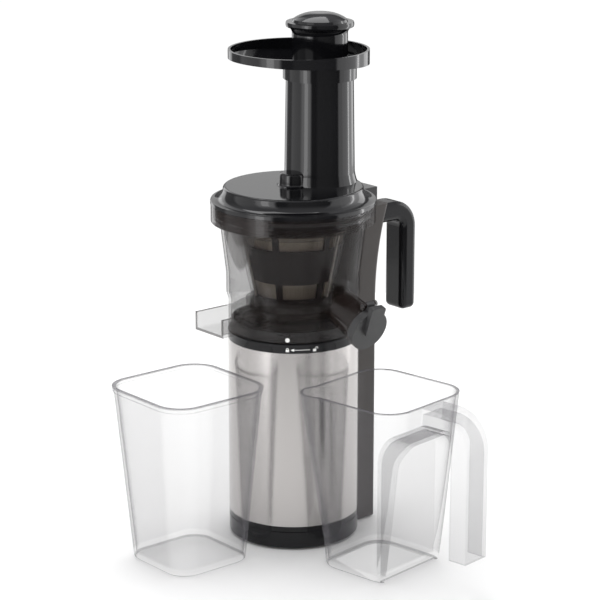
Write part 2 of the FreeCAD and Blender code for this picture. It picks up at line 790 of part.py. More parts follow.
def build_bowl():
    wall = s.bowl_wall
    inner_skirt = s.skirt_radius - wall
    upper = bowl_profile(wall)
    upper.reverse()
    rim_floor = s.rim_bottom + wall
    neck = (s.neck_radius - wall + 0.3, rim_floor)
    shell = turned("bowl_blank", [
        (inner_skirt, s.bowl_bottom),
        (s.skirt_radius, s.bowl_bottom),
        *bowl_profile(),
        (s.rim_radius, s.rim_bottom),
        (s.rim_radius, s.rim_top),
        (s.rim_radius - wall, s.rim_top),
        (s.rim_radius - wall, rim_floor),
        neck,
        *upper,
        (inner_skirt, s.floor_top),
        (s.sleeve_outer, s.floor_top),
        (s.sleeve_outer, s.floor_top + 6),
        (s.sleeve_bore, s.floor_top + 6),
        (s.sleeve_bore, s.floor_under),
        (inner_skirt, s.floor_under),
    ])
    half = s.chute_width / 2
    inside = half - s.chute_wall
    duct_back = s.hub_radius + 1
    chute = cut(
        block((-half, half), (-s.chute_reach, -duct_back), (s.chute_bottom, s.chute_top)),
        cylinder(inner_skirt + wall / 2, 30, 0, 0, s.floor_under),
    )
    cavity = turned("bowl_cavity", [
        (0, s.floor_top),
        (inner_skirt, s.floor_top),
        *bowl_profile(wall),
        (0, s.rim_bottom),
    ])
    spout = cut(spout_solid(0), cavity)
    flange = on_spout(cylinder(s.spout_end_radius + 1.2, 2.2), -2.2)
    chute_floor = s.chute_bottom + s.chute_wall
    ears = []
    for side in (-1, 1):
        x, y, z = spout_place(as_size(-1.4), hinge_up)
        ear = cylinder(2.6, 3, x, side * ear_middle + 1.5, z, (1, 0, 0), 90)
        foot = block((0, 3.4), (-1.5, 1.5), (0, 3.4))
        x, y, z = spout_place(as_size(-3.1), s.spout_end_radius + 0.2)
        ears += [ear, put(foot, x, side * ear_middle - 1.5, z, (0, 1, 0), s.spout_slope)]
    openings = [
        block((-inside, inside), (-s.chute_reach - 1, -inner_skirt + 4), (chute_floor, s.floor_under)),
        block((-inside, inside), (-s.chute_reach - 1, -s.skirt_radius - 0.1), (chute_floor, s.chute_top + 1)),
        block((-inside, inside), (-inner_skirt + 3, -duct_back - s.chute_wall), (chute_floor, s.floor_under)),
        cut(
            block((-13, 13), (-s.strainer_foot + s.strainer_wall, -duct_back - s.chute_wall),
                  (s.floor_under - 1, s.floor_top + 1)),
            cylinder(duct_back + s.chute_wall + 1, 6, 0, 0, s.floor_under - 1.5),
        ),
        spout_solid(s.bowl_wall),
        block((-9, 9), (-44, -36), (s.chute_bottom - 1, chute_floor)),
        pin_hole(),
    ]
    body = cut(fuse(shell, chute, spout, flange, *ears), *openings)
    piece("bowl", fuse(body, idler_seat()))

    ring_inner = s.bayonet_radius + s.lug_depth + 0.4
    ring_bottom = s.bowl_bottom + 0.1
    ring_top = s.bayonet_top + 2
    ridge = 0.9
    steps = []
    for level in (ring_bottom + 1.6, ring_bottom + 4.4):
        steps += [
            (inner_skirt, level), (inner_skirt - ridge, level),
            (inner_skirt - ridge, level + 1.2), (inner_skirt, level + 1.2),
        ]
    ring = turned("bayonet_blank", [
        (ring_inner, ring_bottom), (inner_skirt, ring_bottom), *steps,
        (inner_skirt, ring_top), (ring_inner, ring_top),
    ])
    ledge_top = s.bayonet_top - 3 - s.gap
    ledges = [
        sector(s.bayonet_radius + s.gap, ring_inner + 0.5, ring_bottom, ledge_top, angle, s.lug_angle)
        for angle in (30, 150, 270)
    ]
    piece("bayonet_ring", fuse(ring, *ledges))
    piece("pulp_plug", fuse(
        block((-8.9, 8.9), (-43.9, -36.1), (s.chute_bottom, chute_floor)),
        block((-10.5, 10.5), (-45.5, -34.5), (chute_floor, chute_floor + 1)),
    ))


def pin_hole():
    """The bore for the cap's hinge pin, across the spout's ears."""
    x, y, z = spout_place(as_size(-1.4), hinge_up)
    return cylinder(1.25, 20, x, 10, z, (1, 0, 0), 90)


idler_distance = s.train_module * s.train_teeth


def idler_seat():
    return cylinder(5, 0.3, 0, idler_distance, s.floor_top)


def build_wiper_train():
    level = s.floor_top + 0.6
    piece("idler_pin", fuse(
        cylinder(3, s.train_width + 0.9, 0, idler_distance, s.floor_top + 0.3),
        cylinder(4.5, 0.4, 0, idler_distance, s.floor_top + s.train_width + 0.9),
    ))
    idler = cut(
        gear_blank(s.train_teeth, s.train_module, s.train_width, 90),
        cylinder(3 + s.running_fit, 10),
    )
    piece("idler_gear", put(idler, 0, idler_distance, level))

    ring_top = level + s.train_width + 0.4
    clear = s.gap + 1.3
    thick = 2.2
    teeth = gear_blank(s.ring_teeth, s.train_module, s.train_width + 1, 90, BACKLASH, 0.12)
    put(teeth, 0, 0, level - 0.6)
    ring_outer = s.train_module * s.ring_teeth / 2 + 4.5
    toothed = cut(cylinder(ring_outer, s.train_width + 0.4, 0, 0, level), teeth)
    flange = tube(ring_outer, s.strainer_foot + clear, ring_top, ring_top + 1.2)
    shell = turned("wiper_blank", wall_between(ring_top, s.strainer_top - 4, clear, thick))
    windows = around(3, lambda angle: sector(
        20, 60, ring_top + 3.4, s.strainer_top - 9, angle + 60, 103
    ), 15)
    piece("wiper_frame", fuse(toothed, flange, cut(shell, *windows)))
    blades = []
    for step in range(3):
        angle = 15 + 120 * step
        strip = turned(f"blade_blank_{step}", wall_between(
            level + s.train_width + 7, s.strainer_top - 8, s.gap, clear - s.gap
        ))
        slice_box = put(block((0, 70), (-1, 1), (200, 290)), *polar(1, angle - 90), 200, (0, 0, 1), angle)
        blades.append(common(strip, slice_box))
    piece("wiper_blades", group(*blades))


def strainer_radius(height):
    """Outside radius of the strainer at a height, following its three straight stretches."""
    stretches = [
        (s.floor_top + 10, s.strainer_foot, s.band_bottom, s.strainer_band_low),
        (s.band_bottom, s.strainer_band_low, s.band_top, s.strainer_band_high),
        (s.band_top, s.strainer_band_high, s.strainer_top, s.strainer_head),
    ]
    for low, low_radius, high, high_radius in stretches:
        if float(height) <= float(high) or high is s.strainer_top:
            share = (height - low) / (high - low)
            if share.value < 0:
                return low_radius
            return low_radius + share * (high_radius - low_radius)
    return s.strainer_head


def wall_between(bottom, top, clear, thick):
    """The section of a wall that follows the strainer outside it, clear of it by clear."""
    levels = [bottom, s.floor_top + 10, s.band_bottom, s.band_top, top]
    levels = [level for level in levels if float(bottom) <= float(level) <= float(top)]
    inner = [(strainer_radius(level) + clear, level) for level in levels]
    outer = [(radius + thick, level) for radius, level in inner]
    return inner + outer[::-1]


# ---------------------------------------------------------------- strainer and auger
def build_strainer():
    wall = s.strainer_wall
    levels = [s.floor_top + 10, s.band_bottom, s.band_top, s.strainer_top]
    outer = [(s.strainer_foot, s.floor_top)] + [(strainer_radius(z), z) for z in levels]
    inner = [(radius - wall, z) for radius, z in outer]
    shell = turned("strainer_blank", outer + inner[::-1])
    plate_level = s.floor_top + 6
    neck_hole = s.train_module * s.train_teeth / 2 + s.train_module * ADDENDUM + 0.5
    plate = cut(
        cylinder(s.strainer_foot - wall / 2, 2, 0, 0, plate_level),
        cylinder(neck_hole, 2, 0, 0, plate_level),
        cut(
            block((-13, 13), (-s.strainer_foot + wall, -s.hub_radius - 3), (plate_level - 1, plate_level + 3)),
            cylinder(s.hub_radius + 4, 6, 0, 0, plate_level - 2),
        ),
    )
    window_bottom, window_top = s.floor_top + 12, s.band_bottom - 2
    low_windows = around(6, lambda angle: sector(20, 60, window_bottom, window_top, angle, 51), 30)
    high_windows = around(6, lambda angle: sector(
        20, 60, s.band_top + 2, s.strainer_top - 6, angle, 53
    ), 30)
    gear_window = block((-13.5, 13.5), (idler_distance - 1, 40), (s.floor_top, s.floor_top + 5.6))
    piece("strainer_frame", fuse(cut(shell, *low_windows, *high_windows, gear_window), plate))

    def mesh(name, bottom, top):
        rings = [(strainer_radius(z) - wall, z) for z in (bottom, top)]
        return turned(name, rings + [(radius - 0.5, z) for radius, z in rings[::-1]])

    piece("strainer_mesh", group(
        mesh("low_mesh", s.floor_top + 11, s.band_bottom - 0.5),
        mesh("high_mesh", s.band_top + 0.5, s.strainer_top - 4.5),
    ))


def build_auger():
    foot = s.floor_top + 8.6
    neck = s.train_module * s.train_teeth / 2 + s.train_module * ADDENDUM
    top = s.strainer_top - 2
    core = turned("auger_core_blank", [
        (0, foot - 1.2),
        (neck, foot - 1.2),
        (neck, foot),
        (s.strainer_foot - s.strainer_wall - 1.5, foot),
        (s.strainer_foot - s.strainer_wall - 1.5, foot + 3),
        via(s.auger_core + 4, foot + 5),
        (s.auger_core + 1, foot + 12),
        (s.auger_core - 5, top - 14),
        via(s.auger_core - 9, top - 4),
        (9, top + 6),
        (s.auger_pin, top + 8),
        (s.auger_pin, s.boss_top - 7),
        (0, s.boss_top - 7),
    ])
    start, rise = float(foot) + 6, float(top - foot) - 16
    turns = rise / float(s.flight_pitch)
    slope = math.degrees(math.atan((float(s.strainer_head - s.strainer_foot) - 2) / (float(top - foot))))
    helix = Part.makeHelix(float(s.flight_pitch), rise, float(s.auger_core) - 2, slope)
    reach, thick = 26.0, 4.2
    inner = float(s.auger_core) - 8
    corners = [
        Vector(inner, 0, -thick / 2 - 0.8), Vector(inner + reach, 0, -thick / 2 + 0.6),
        Vector(inner + reach, 0, thick / 2 - 0.6), Vector(inner, 0, thick / 2 + 0.8),
        Vector(inner, 0, -thick / 2 - 0.8),
    ]
    sweep = Part.Wire(helix.Edges).makePipeShell([Part.makePolygon(corners)], True, True)
    flight = put(feature(sweep, "flight"), 0, 0, start)
    second = put(feature(sweep, "flight"), 0, 0, start, (0, 0, 1), 180)
    clear = s.strainer_wall + 1.2
    levels = [foot + 2, s.band_bottom, s.band_top, top]
    room = turned("flight_room", [(0, foot + 2)] + [
        (strainer_radius(z) - clear, z) for z in levels
    ] + [(0, top)])
    body = fuse(core, common(fuse(flight, second), room))

    bore_top = s.floor_top + 25
    rib_angle = 50
    socket = cylinder(s.shaft_radius + 1.5, bore_top - foot + 1.2, 0, 0, foot - 1.2)
    ribs = [
        sector(s.shaft_radius - 0.6, s.shaft_radius + 2.5, foot + 1.4, bore_top - 3, angle, rib_angle)
        for angle in (90, 270)
    ]
    piece("auger", fuse(cut(body, socket), *ribs))

    gear = cut(
        gear_blank(s.train_teeth, s.train_module, s.train_width, 90 + 180 / float(s.train_teeth)),
        cylinder(s.sleeve_outer + s.loose_fit, 10),
    )
    put(gear, 0, 0, s.floor_top + 0.6)
    neck_ring = tube(neck - 1.9, s.sleeve_outer + s.loose_fit, s.floor_top + 4.4, foot - 1.2)
    piece("auger_gear", fuse(gear, neck_ring))


# ---------------------------------------------------------------- cap of the juice spout
def build_juice_cap():
    face = 0.3
    rim = cut(cylinder(s.cap_radius, s.cap_depth), cylinder(s.spout_end_radius - 1.4, 2.4))
    cap = on_spout(rim, face)
    tongue = s.lever_length - s.lever_width / 2
    lever = fuse(
        block((0, 4.6), (0, s.lever_width), (0, tongue)),
        cylinder(s.lever_width / 2, 4.6, 0, s.lever_width / 2, 0, (0, 1, 0), 90),
        block((0, 4.6), (3, s.lever_width - 3), (tongue, tongue + 3)),
        cylinder(3, 4.6, 0, 3, tongue, (0, 1, 0), 90),
        cylinder(3, 4.6, 0, s.lever_width - 3, tongue, (0, 1, 0), 90),
    )
    x, y, z = spout_place(s.cap_depth - 0.3, as_size(3))
    put(lever, x, -s.lever_width / 2, z, (0, 1, 0), s.spout_slope)
    knuckle_x, knuckle_y, knuckle_z = spout_place(as_size(-1.4), hinge_up)
    knuckle = cylinder(2.6, 8, knuckle_x, 4, knuckle_z, (1, 0, 0), 90)
    bridge = block((0, s.cap_depth - 0.5), (-4, 4), (0, 3.4))
    x, y, z = spout_place(as_size(0.4), s.spout_end_radius + 0.6)
    put(bridge, x, -4, z, (0, 1, 0), s.spout_slope)
    bore = cylinder(1.25, 30, knuckle_x, 15, knuckle_z, (1, 0, 0), 90)
    piece("juice_cap", cut(fuse(cap, lever, knuckle, bridge), bore))
    piece("cap_pin", cylinder(1.2, 14.2, knuckle_x, 7.1, knuckle_z, (1, 0, 0), 90))
    seal_outer = s.spout_end_radius - 1.4
    seal = cut(cylinder(seal_outer, 2), cylinder(seal_outer - 3, 2))
    piece("cap_seal", on_spout(seal, face + 0.4))


# ---------------------------------------------------------------- lid
def build_lid():
    flange_top = s.rim_top + s.lid_flange
    ring_outer = s.rim_radius - s.bowl_wall - 0.6
    ring_inner = ring_outer - 2.4
    under = s.disc_height - s.shell_wall
    shell = turned("lid_blank", [
        (0, s.disc_height),
        (s.disc_radius - 2.4, s.disc_height),
        via(s.disc_radius - 0.7, s.disc_height - 0.7),
        (s.disc_radius, s.disc_height - 2.4),
        via(s.disc_radius + 3.2, flange_top + 2.6),
        (s.rim_radius, flange_top),
        (s.rim_radius + 0.25, flange_top - 0.5),
        (s.rim_radius + 0.25, s.rim_top + s.gap),
        (ring_outer, s.rim_top + s.gap),
        (ring_outer, s.rim_top - 9),
        (ring_inner, s.rim_top - 9),
        (ring_inner, s.rim_top + 0.6),
        (s.disc_radius - 2, under),
        (0, under),
    ])
    tube_rise = s.tube_top - s.disc_height
    feed_tube = cone(s.tube_base, s.tube_radius, tube_rise, 0, s.tube_offset, s.disc_height)
    foot = turned("tube_foot", [
        (s.tube_base - 2, flange_top - 1),
        (s.tube_base + 8.4, flange_top - 1),
        (s.tube_base + 8.4, flange_top + 0.6),
        via(s.tube_base + 2.6, s.disc_height - 1.5),
        (s.tube_base - 0.05, s.disc_height + 8),
        (s.tube_base - 2, s.disc_height + 8),
    ])
    put(foot, 0, s.tube_offset, 0)
    bearing_bottom = s.strainer_top + 10
    boss = turned("boss_blank", [
        (0, bearing_bottom),
        (7, bearing_bottom),
        (7, s.disc_height - 1),
        (s.boss_radius + 3, s.disc_height - 1),
        (s.boss_radius + 3, s.disc_height),
        via(s.boss_radius + 0.8, s.disc_height + 0.8),
        (s.boss_radius, s.disc_height + 3),
        (s.boss_radius - 0.4, s.boss_top - 2),
        via(s.boss_radius - 1, s.boss_top - 0.6),
        (s.boss_radius - 2.4, s.boss_top),
        (0, s.boss_top),
    ])
    ear = block((-12, 12), (s.rim_radius + 1.8, s.column_reach - 2), (s.column_top + 1.3, s.rim_top + s.gap))
    ear_top = block((-12, 12), (s.disc_radius, s.column_reach - 2), (s.rim_top + s.gap, flange_top))
    boss_keep = cylinder(7, s.boss_top - bearing_bottom, 0, 0, bearing_bottom)
    room = cut(
        cone(s.tube_base - s.tube_wall, s.tube_radius - s.tube_wall, s.tube_top - under + 4,
             0, s.tube_offset, under - 2),
        boss_keep,
    )
    bore = cylinder(s.auger_pin + s.loose_fit, s.boss_top - 6 - bearing_bottom, 0, 0, bearing_bottom)
    piece("lid", cut(fuse(shell, feed_tube, foot, boss, ear, ear_top), room, bore))
    seal_outer = ring_outer + 0.25
    piece("lid_seal", tube(seal_outer, ring_outer, s.rim_top - 6, s.rim_top - 3))


# ---------------------------------------------------------------- tray and pusher
def circle(radius, y, z, tilt=0.0):
    axis = Vector(0, -math.sin(tilt), math.cos(tilt))
    return Part.Wire(Part.makeCircle(radius, Vector(0, y, z), axis))


def dish(less, lift):
    """The tray's filled dish, its wall moved inwards by less and its floor raised by lift."""
    radius = float(s.tray_radius) - less
    top, offset = float(s.tray_top), float(s.tray_offset)
    drop = float(s.tray_front + s.tray_back) / 2
    tilt = -math.atan2(float(s.tray_back - s.tray_front), 2 * radius)
    rim = circle(radius, offset, top + (1 if less else 0))
    edge = circle(radius, offset, top - drop + lift, tilt)
    mouth = circle(float(s.socket_radius) - less, float(s.tube_offset), float(s.tube_top) + 0.5 + lift)
    wall = Part.makeLoft([rim, edge], True, True)
    floor = Part.makeLoft([edge, mouth], True, True)
    return wall.fuse(floor).removeSplitter()


def build_tray():
    outer, inner = feature(dish(0, 0)), feature(dish(float(s.tray_wall), float(s.tray_wall)))
    stop = s.tube_top + s.gap
    top = s.tray_top
    socket = cylinder(s.socket_radius, stop + 3 - s.socket_bottom, 0, s.tube_offset, s.socket_bottom)
    opening = cylinder(s.tube_radius - s.tube_wall + 0.4, top - s.socket_bottom, 0, s.tube_offset, s.socket_bottom)
    grip = cylinder(s.tube_radius + s.gap + 0.3, stop - s.socket_bottom, 0, s.tube_offset, s.socket_bottom)
    piece("feed_tray", cut(fuse(outer, socket), inner, opening, grip))


def build_pusher():
    wall = s.tube_wall
    rim_top = s.pusher_rim + 4
    body = turned("pusher_blank", [
        (0, s.pusher_bottom),
        (s.pusher_radius - 4, s.pusher_bottom),
        via(s.pusher_radius - 1.2, s.pusher_bottom + 1.2),
        (s.pusher_radius, s.pusher_bottom + 4),
        (s.pusher_radius, s.pusher_rim - 7),
        via(s.pusher_radius + 1.3, s.pusher_rim - 2),
        (s.flare_rim - 0.4, s.pusher_rim),
        via(s.flare_rim, s.pusher_rim + 2),
        (s.flare_rim - 0.4, rim_top),
        (s.pusher_radius - wall, rim_top),
        (s.pusher_radius - wall, s.pusher_bottom + 4),
        (0, s.pusher_bottom + 4),
    ])
    piece("pusher", put(body, 0, s.tube_offset, 0))
    dome = turned("dome_blank", [
        (0, s.pusher_top),
        (s.pusher_radius * 0.2, s.pusher_top),
        via(s.pusher_radius * 0.65, s.pusher_top - 1.7),
        (s.pusher_radius - 1, rim_top + 2),
        (s.pusher_radius, rim_top),
        (s.pusher_radius - wall - 0.05, rim_top),
        (s.pusher_radius - wall - 0.05, rim_top - 6),
        (0, rim_top - 6),
    ])
    piece("pusher_cap", put(dome, 0, s.tube_offset, 0))


# ---------------------------------------------------------------- column, handle and controls
def envelope(name, clear):
    """Everything that the column must stay outside of: the body and the bowl, grown by clear."""
    return turned(name, [
        (0, -5),
        (s.body_radius + clear, -5),
        (s.body_radius + clear, s.collar_top + 0.2),
        (s.skirt_radius + 0.6 + clear, s.collar_top + 0.2),
        *[(radius + 0.6 + clear, height) for radius, height in bowl_profile()][:-1],
        (s.neck_radius + 0.6 + clear, s.rim_bottom - 1.2 - clear),
        (s.rim_radius + 0.8 + clear, s.rim_bottom - 1.2 - clear),
        (s.rim_radius + 0.8 + clear, s.rim_top + 20),
        (0, s.rim_top + 20),
    ])


def column_outline(less):
    """The column's side view: its back runs straight up and then curves out to its top."""
    back, top = s.column_back - less, s.column_top - less
    out, rise = float(s.column_reach - s.column_back), float(top - s.column_flare)
    bend = (out ** 2 + rise ** 2) / (2 * out)
    bulge = bend - math.sqrt(bend ** 2 - (rise / 2) ** 2)
    return [
        (30, s.base_bottom + less),
        (back, s.base_bottom + less),
        (back, s.column_flare),
        via(back + bulge, s.column_flare + rise / 2),
        (s.column_reach - less, top),
        (30, top),
    ]


def column_solid(name, less, clear):
    """The column, or its sharp-edged hollow when less is not 0, clear of the body and the bowl."""
    half = s.column_half - less
    slab = side_view(name, column_outline(less), half)
    if not float(less):
        doc.recompute()
        long_edges = [
            edge for edge in slab.Shape.Edges
            if abs(abs(edge.CenterOfMass.x) - float(half)) < 1e-3 and edge.BoundBox.YMin > 40
        ]
        slab = feature(slab.Shape.makeFillet(float(s.column_corner), long_edges), f"{name}_rounded")
    return cut(slab, envelope(f"{name}_envelope", clear))


plunger_back = s.column_reach - 9


def build_column():
    wall = s.shell_wall
    solid = column_solid("column_blank", as_size(0), as_size(0.02))
    hollow = column_solid("column_hollow", wall, wall)
    shell = cut(solid, hollow)
    width = (-40, 40)
    front_room = block(width, (0, s.column_split), (-10, 300))
    back_room = block(width, (s.column_split, 100), (-10, 300))
    switch_hole = block((-7.7, 7.7), (s.column_split, 80), (s.switch_height - 12.2, s.switch_height + 12.2))
    gland_hole = cylinder(4.2, 20, 0, 80, s.base_bottom + 12, (1, 0, 0), 90)
    plunger_hole = cylinder(2.1, 12, 0, plunger_back, s.column_top - 8)
    screw_holes = [
        cylinder(1.6, 30, x, 100, s.handle_height, (1, 0, 0), 90) for x in (-s.screw_spread, s.screw_spread)
    ]
    piece("column_front", common(shell, front_room))
    back = common(feature_copy(shell), back_room)
    piece("column_back", cut(back, switch_hole, gland_hole, plunger_hole, *screw_holes))


def feature_copy(thing):
    """A link to a thing that another operation has already taken."""
    made = doc.addObject("App::Link", "again")
    made.LinkedObject = thing
    return made


def grip_section(half_width, half_depth, corner):
    """The handle's section across the root's direction: a rounded oblong about the origin."""
    edges = []
    flat_x, flat_z = half_width - corner, half_depth - corner
    bend = corner * math.sqrt(0.5)
    for side_x, side_z in ((1, 1), (-1, 1), (-1, -1), (1, -1)):
        ends = [
            Vector(side_x * half_width, 0, side_z * flat_z),
            Vector(side_x * flat_x, 0, side_z * half_depth),
        ]
        middle = Vector(side_x * (flat_x + bend), 0, side_z * (flat_z + bend))
        if side_x * side_z < 0:
            ends.reverse()
        edges.append(Part.Arc(ends[0], middle, ends[1]).toShape())
    corners = list(edges)
    for index, arc in enumerate(corners):
        following = corners[(index + 1) % 4]
        edges.append(Part.LineSegment(arc.Vertexes[-1].Point, following.Vertexes[0].Point).toShape())
    return Part.Wire(Part.__sortEdges__(edges))


def build_handle():
    half_width, half_depth = float(s.handle_width) / 2, float(s.handle_depth) / 2
    start = float(s.column_reach) - 12
    reach, height, bend = (float(size) for size in (s.handle_reach, s.handle_height, s.handle_bend))
    turn = bend * (1 - math.sqrt(0.5))
    path = Part.Wire([
        Part.LineSegment(Vector(0, start, height), Vector(0, reach - bend, height)).toShape(),
        Part.Arc(
            Vector(0, reach - bend, height),
            Vector(0, reach - turn, height - turn),
            Vector(0, reach, height - bend),
        ).toShape(),
        Part.LineSegment(
            Vector(0, reach, height - bend), Vector(0, reach, float(s.handle_bottom))
        ).toShape(),
    ])
    section = grip_section(half_width, half_depth, float(s.handle_corner))
    section.translate(Vector(0, start, height))
    bar = path.makePipeShell([section], True, False)
    low_edges = [edge for edge in bar.Edges if edge.BoundBox.ZMax < float(s.handle_bottom) + 1e-3]
    grip = feature(bar.makeFillet(float(s.handle_corner) - 0.5, low_edges), "grip")
    column = column_solid("handle_seat", as_size(0), as_size(0.02))
    bores, screws = [], []
    head_place = s.column_reach - 10.2
    for x in (-s.screw_spread, s.screw_spread):
        bores.append(cylinder(1.5, 18, x, s.column_reach + 9, s.handle_height, (1, 0, 0), 90))
        screws.append(cylinder(1.5, 16, x, head_place + 16, s.handle_height, (1, 0, 0), 90))
        screws.append(cylinder(2.9, 2, x, head_place + 1, s.handle_height, (1, 0, 0), 90))
    piece("handle", cut(grip, column, *bores))
    piece("handle_screws", group(fuse(*screws[:2]), fuse(*screws[2:])))


def build_controls():
    level = s.switch_height
    piece("switch_housing", cut(
        block((-7.5, 7.5), (s.column_split + 0.5, s.column_back + 1), (level - 12, level + 12)),
        block((-5.5, 5.5), (s.column_split + 3, s.column_back + 2), (level - 10, level + 10)),
        cylinder(1.25, 20, -10, s.column_back - 2.2, level, (0, 1, 0), 90),
    ))
    rocker = padded("rocker_blank", "YZ_Plane", [
        (s.column_back - 5, level - 3),
        (s.column_back - 5, level + 3),
        (s.column_back - 1, level + 8.6),
        (s.column_back + 1.6, level + 8.6),
        via(s.column_back + 0.6, level),
        (s.column_back + 1.6, level - 8.6),
        (s.column_back - 1, level - 8.6),
    ], -5.1, 10.2)
    bore = cylinder(1.25, 20, -10, s.column_back - 2.2, level, (0, 1, 0), 90)
    piece("switch_rocker", cut(rocker, bore))
    piece("rocker_pin", cylinder(1.2, 14.6, -7.3, s.column_back - 2.2, level, (0, 1, 0), 90))
    gland_level = s.base_bottom + 12
    gland = fuse(
        cylinder(4.1, 8, 0, s.column_back + 1, gland_level, (1, 0, 0), 90),
        cylinder(5.6, 2.5, 0, s.column_back + 2.5, gland_level, (1, 0, 0), 90),
        cone(4.6, 3.6, 11, 0, s.column_back + 2, gland_level, (1, 0, 0), -90),
    )
    piece("cord_gland", cut(gland, cylinder(2.6, 40, 0, s.column_back + 20, gland_level, (1, 0, 0), 90)))
    piece("interlock_plunger", fuse(
        cylinder(1.9, 12.2, 0, plunger_back, s.column_top + 1 - 12.2),
        cylinder(3.4, 1.2, 0, plunger_back, s.column_top - 9.4),
    ))
    piece("control_board", fuse(
        block((-17, 17), (s.column_split - 1, s.column_split + 0.6), (90, 150)),
        block((-12, -2), (s.column_split + 0.6, s.column_split + 5.6), (100, 116)),
        block((3, 13), (s.column_split + 0.6, s.column_split + 4.6), (122, 140)),
        cylinder(4, 6, 4, s.column_split + 0.6, 100, (1, 0, 0), -90),
    ))


# ---------------------------------------------------------------- jugs
def rounded_square(width, corner, z):
    """A square outline with round corners, centred on the axis."""
    half, flat = width / 2, width / 2 - corner
    edges = []
    for quarter in range(4):
        turn = FreeCAD.Rotation(Vector(0, 0, 1), 90 * quarter)
        middle = flat + corner * math.sqrt(0.5)
        first, bend, last, following = (
            turn.multVec(Vector(x, y, 0)) + Vector(0, 0, z)
            for x, y in ((half, flat), (middle, middle), (flat, half), (-flat, half))
        )
        edges.append(Part.Arc(first, bend, last).toShape())
        edges.append(Part.LineSegment(last, following).toShape())
    return Part.Wire(edges)


def jug_solid(less, bottom, over):
    """The tapered outside of a jug, moved inwards by less, from bottom to over above its rim."""
    height = float(s.jug_height)
    taper = (float(s.jug_mouth) - float(s.jug_foot)) / height
    swell = (float(s.jug_mouth_corner) - float(s.jug_foot_corner)) / height
    rings = []
    for z in (bottom, height + over):
        width = float(s.jug_foot) + taper * z - 2 * less
        corner = float(s.jug_foot_corner) + swell * z - less
        rings.append(rounded_square(width, corner, z))
    return Part.makeLoft(rings, True, True)


def round_foot(shape, radius):
    """Rounds every edge that lies on the table."""
    low_edges = [edge for edge in shape.Edges if edge.BoundBox.ZMax < 0.01]
    return shape.makeFillet(radius, low_edges)


def build_pulp_container():
    outer = round_foot(jug_solid(0, 0, 0), float(s.jug_heel))
    lip = jug_solid(-1.1, float(s.jug_height) - 4, 0)
    inner = jug_solid(float(s.jug_wall), float(s.jug_wall) + 1, 1)
    made = feature(outer.fuse(lip).cut(inner))
    piece("pulp_container", put(made, s.pulp_jug_x, s.pulp_jug_y, 0))


def pouring_corner(less, bottom, over):
    """The flared corner of the juice jug: a cone that leans outwards as it rises."""
    height = float(s.jug_height)
    foot = float(s.jug_foot) / 2 - 20
    mouth = float(s.jug_mouth) / 2 - 13.5
    rings = []
    for z in (bottom, height + over):
        share = z / height
        place = foot + (mouth - foot) * share
        centre = Vector(-place, -place, z)
        rings.append(Part.Wire(Part.makeCircle(19.0 - 2.5 * share - less, centre, Vector(0, 0, 1))))
    return Part.makeLoft(rings, True, True)


def recess(grow):
    """The arch-topped room behind the juice jug's handle, its plane moved by grow."""
    half = float(s.recess_width) / 2 + grow
    top, corner = float(s.recess_top) + grow, 18.0
    plane = float(s.recess_depth) - grow
    points = [
        Vector(plane, -half, -1), Vector(plane, half, -1), Vector(plane, half, top - corner),
        Vector(plane, half - corner, top), Vector(plane, -half + corner, top),
        Vector(plane, -half, top - corner),
    ]
    bend = corner * (1 - math.sqrt(0.5))
    edges = [
        Part.LineSegment(points[0], points[1]), Part.LineSegment(points[1], points[2]),
        Part.Arc(points[2], Vector(plane, half - bend, top - bend), points[3]),
        Part.LineSegment(points[3], points[4]),
        Part.Arc(points[4], Vector(plane, -half + bend, top - bend), points[5]),
        Part.LineSegment(points[5], points[0]),
    ]
    return Part.Face(Part.Wire([edge.toShape() for edge in edges])).extrude(Vector(60, 0, 0))


def grip_slab(name, less, half_width):
    """The side view of the juice jug's handle, pulled in from its outer face and top by less."""
    reach, depth = s.grip_reach - less, s.grip_depth
    top = s.jug_height - 1 - less
    bend = 30 - less
    inner = s.grip_reach - depth
    start = s.jug_mouth / 2 - 4
    corners = [
        (start, top),
        (reach - bend, top),
        via(reach - bend * (1 - math.sqrt(0.5)), top - bend * (1 - math.sqrt(0.5))),
        (reach, top - bend),
        (reach, s.grip_bottom),
        (inner, s.grip_bottom),
        (inner, top - bend + 2),
        via(inner - 3.6, top - 19.6 + less),
        (inner - 12, top - 15 + less),
        (start, top - 15 + less),
    ]
    return padded(name, "XZ_Plane", corners, -half_width, 2 * half_width)


def build_juice_jug():
    wall, floor = float(s.jug_wall), float(s.jug_wall) + 1
    whole = jug_solid(0, 0, 0).fuse(pouring_corner(0, 0, 0)).removeSplitter()
    outer = round_foot(whole, float(s.jug_heel)).cut(recess(0))
    inner = jug_solid(wall, floor, 1).fuse(pouring_corner(wall, floor, 1)).cut(recess(wall))
    shell = feature(outer, "jug_outer")
    room = feature(inner, "jug_room")
    grip = grip_slab("grip_blank", as_size(0), s.grip_width / 2)
    hollow = grip_slab("grip_hollow", s.jug_wall, s.grip_width / 2 - s.jug_wall)
    channel = cut(grip, put(hollow, -0.01, 0, -3))
    body = cut(fuse(shell, channel), room)
    piece("juice_jug", put(body, s.juice_jug_x, s.juice_jug_y, 0, (0, 0, 1), s.juice_jug_turn))


# ---------------------------------------------------------------- build, check and write
build_base()
build_frame()
build_motor()
build_gearbox()
build_bowl()
build_wiper_train()
build_strainer()
build_auger()
build_juice_cap()
build_lid()
build_tray()
build_pusher()
build_column()
build_handle()
build_controls()
build_pulp_container()
build_juice_jug()
doc.recompute()

failed = [item.Label for item in doc.Objects if {"Invalid", "Error"} & set(item.State)]
if failed:
    raise RuntimeError(f"objects that failed: {failed}")
for item in PIECES:
    if item.Shape.isNull() or not item.Shape.isValid() or not item.Shape.Solids:
        raise RuntimeError(f"{item.Label} has no valid shape")

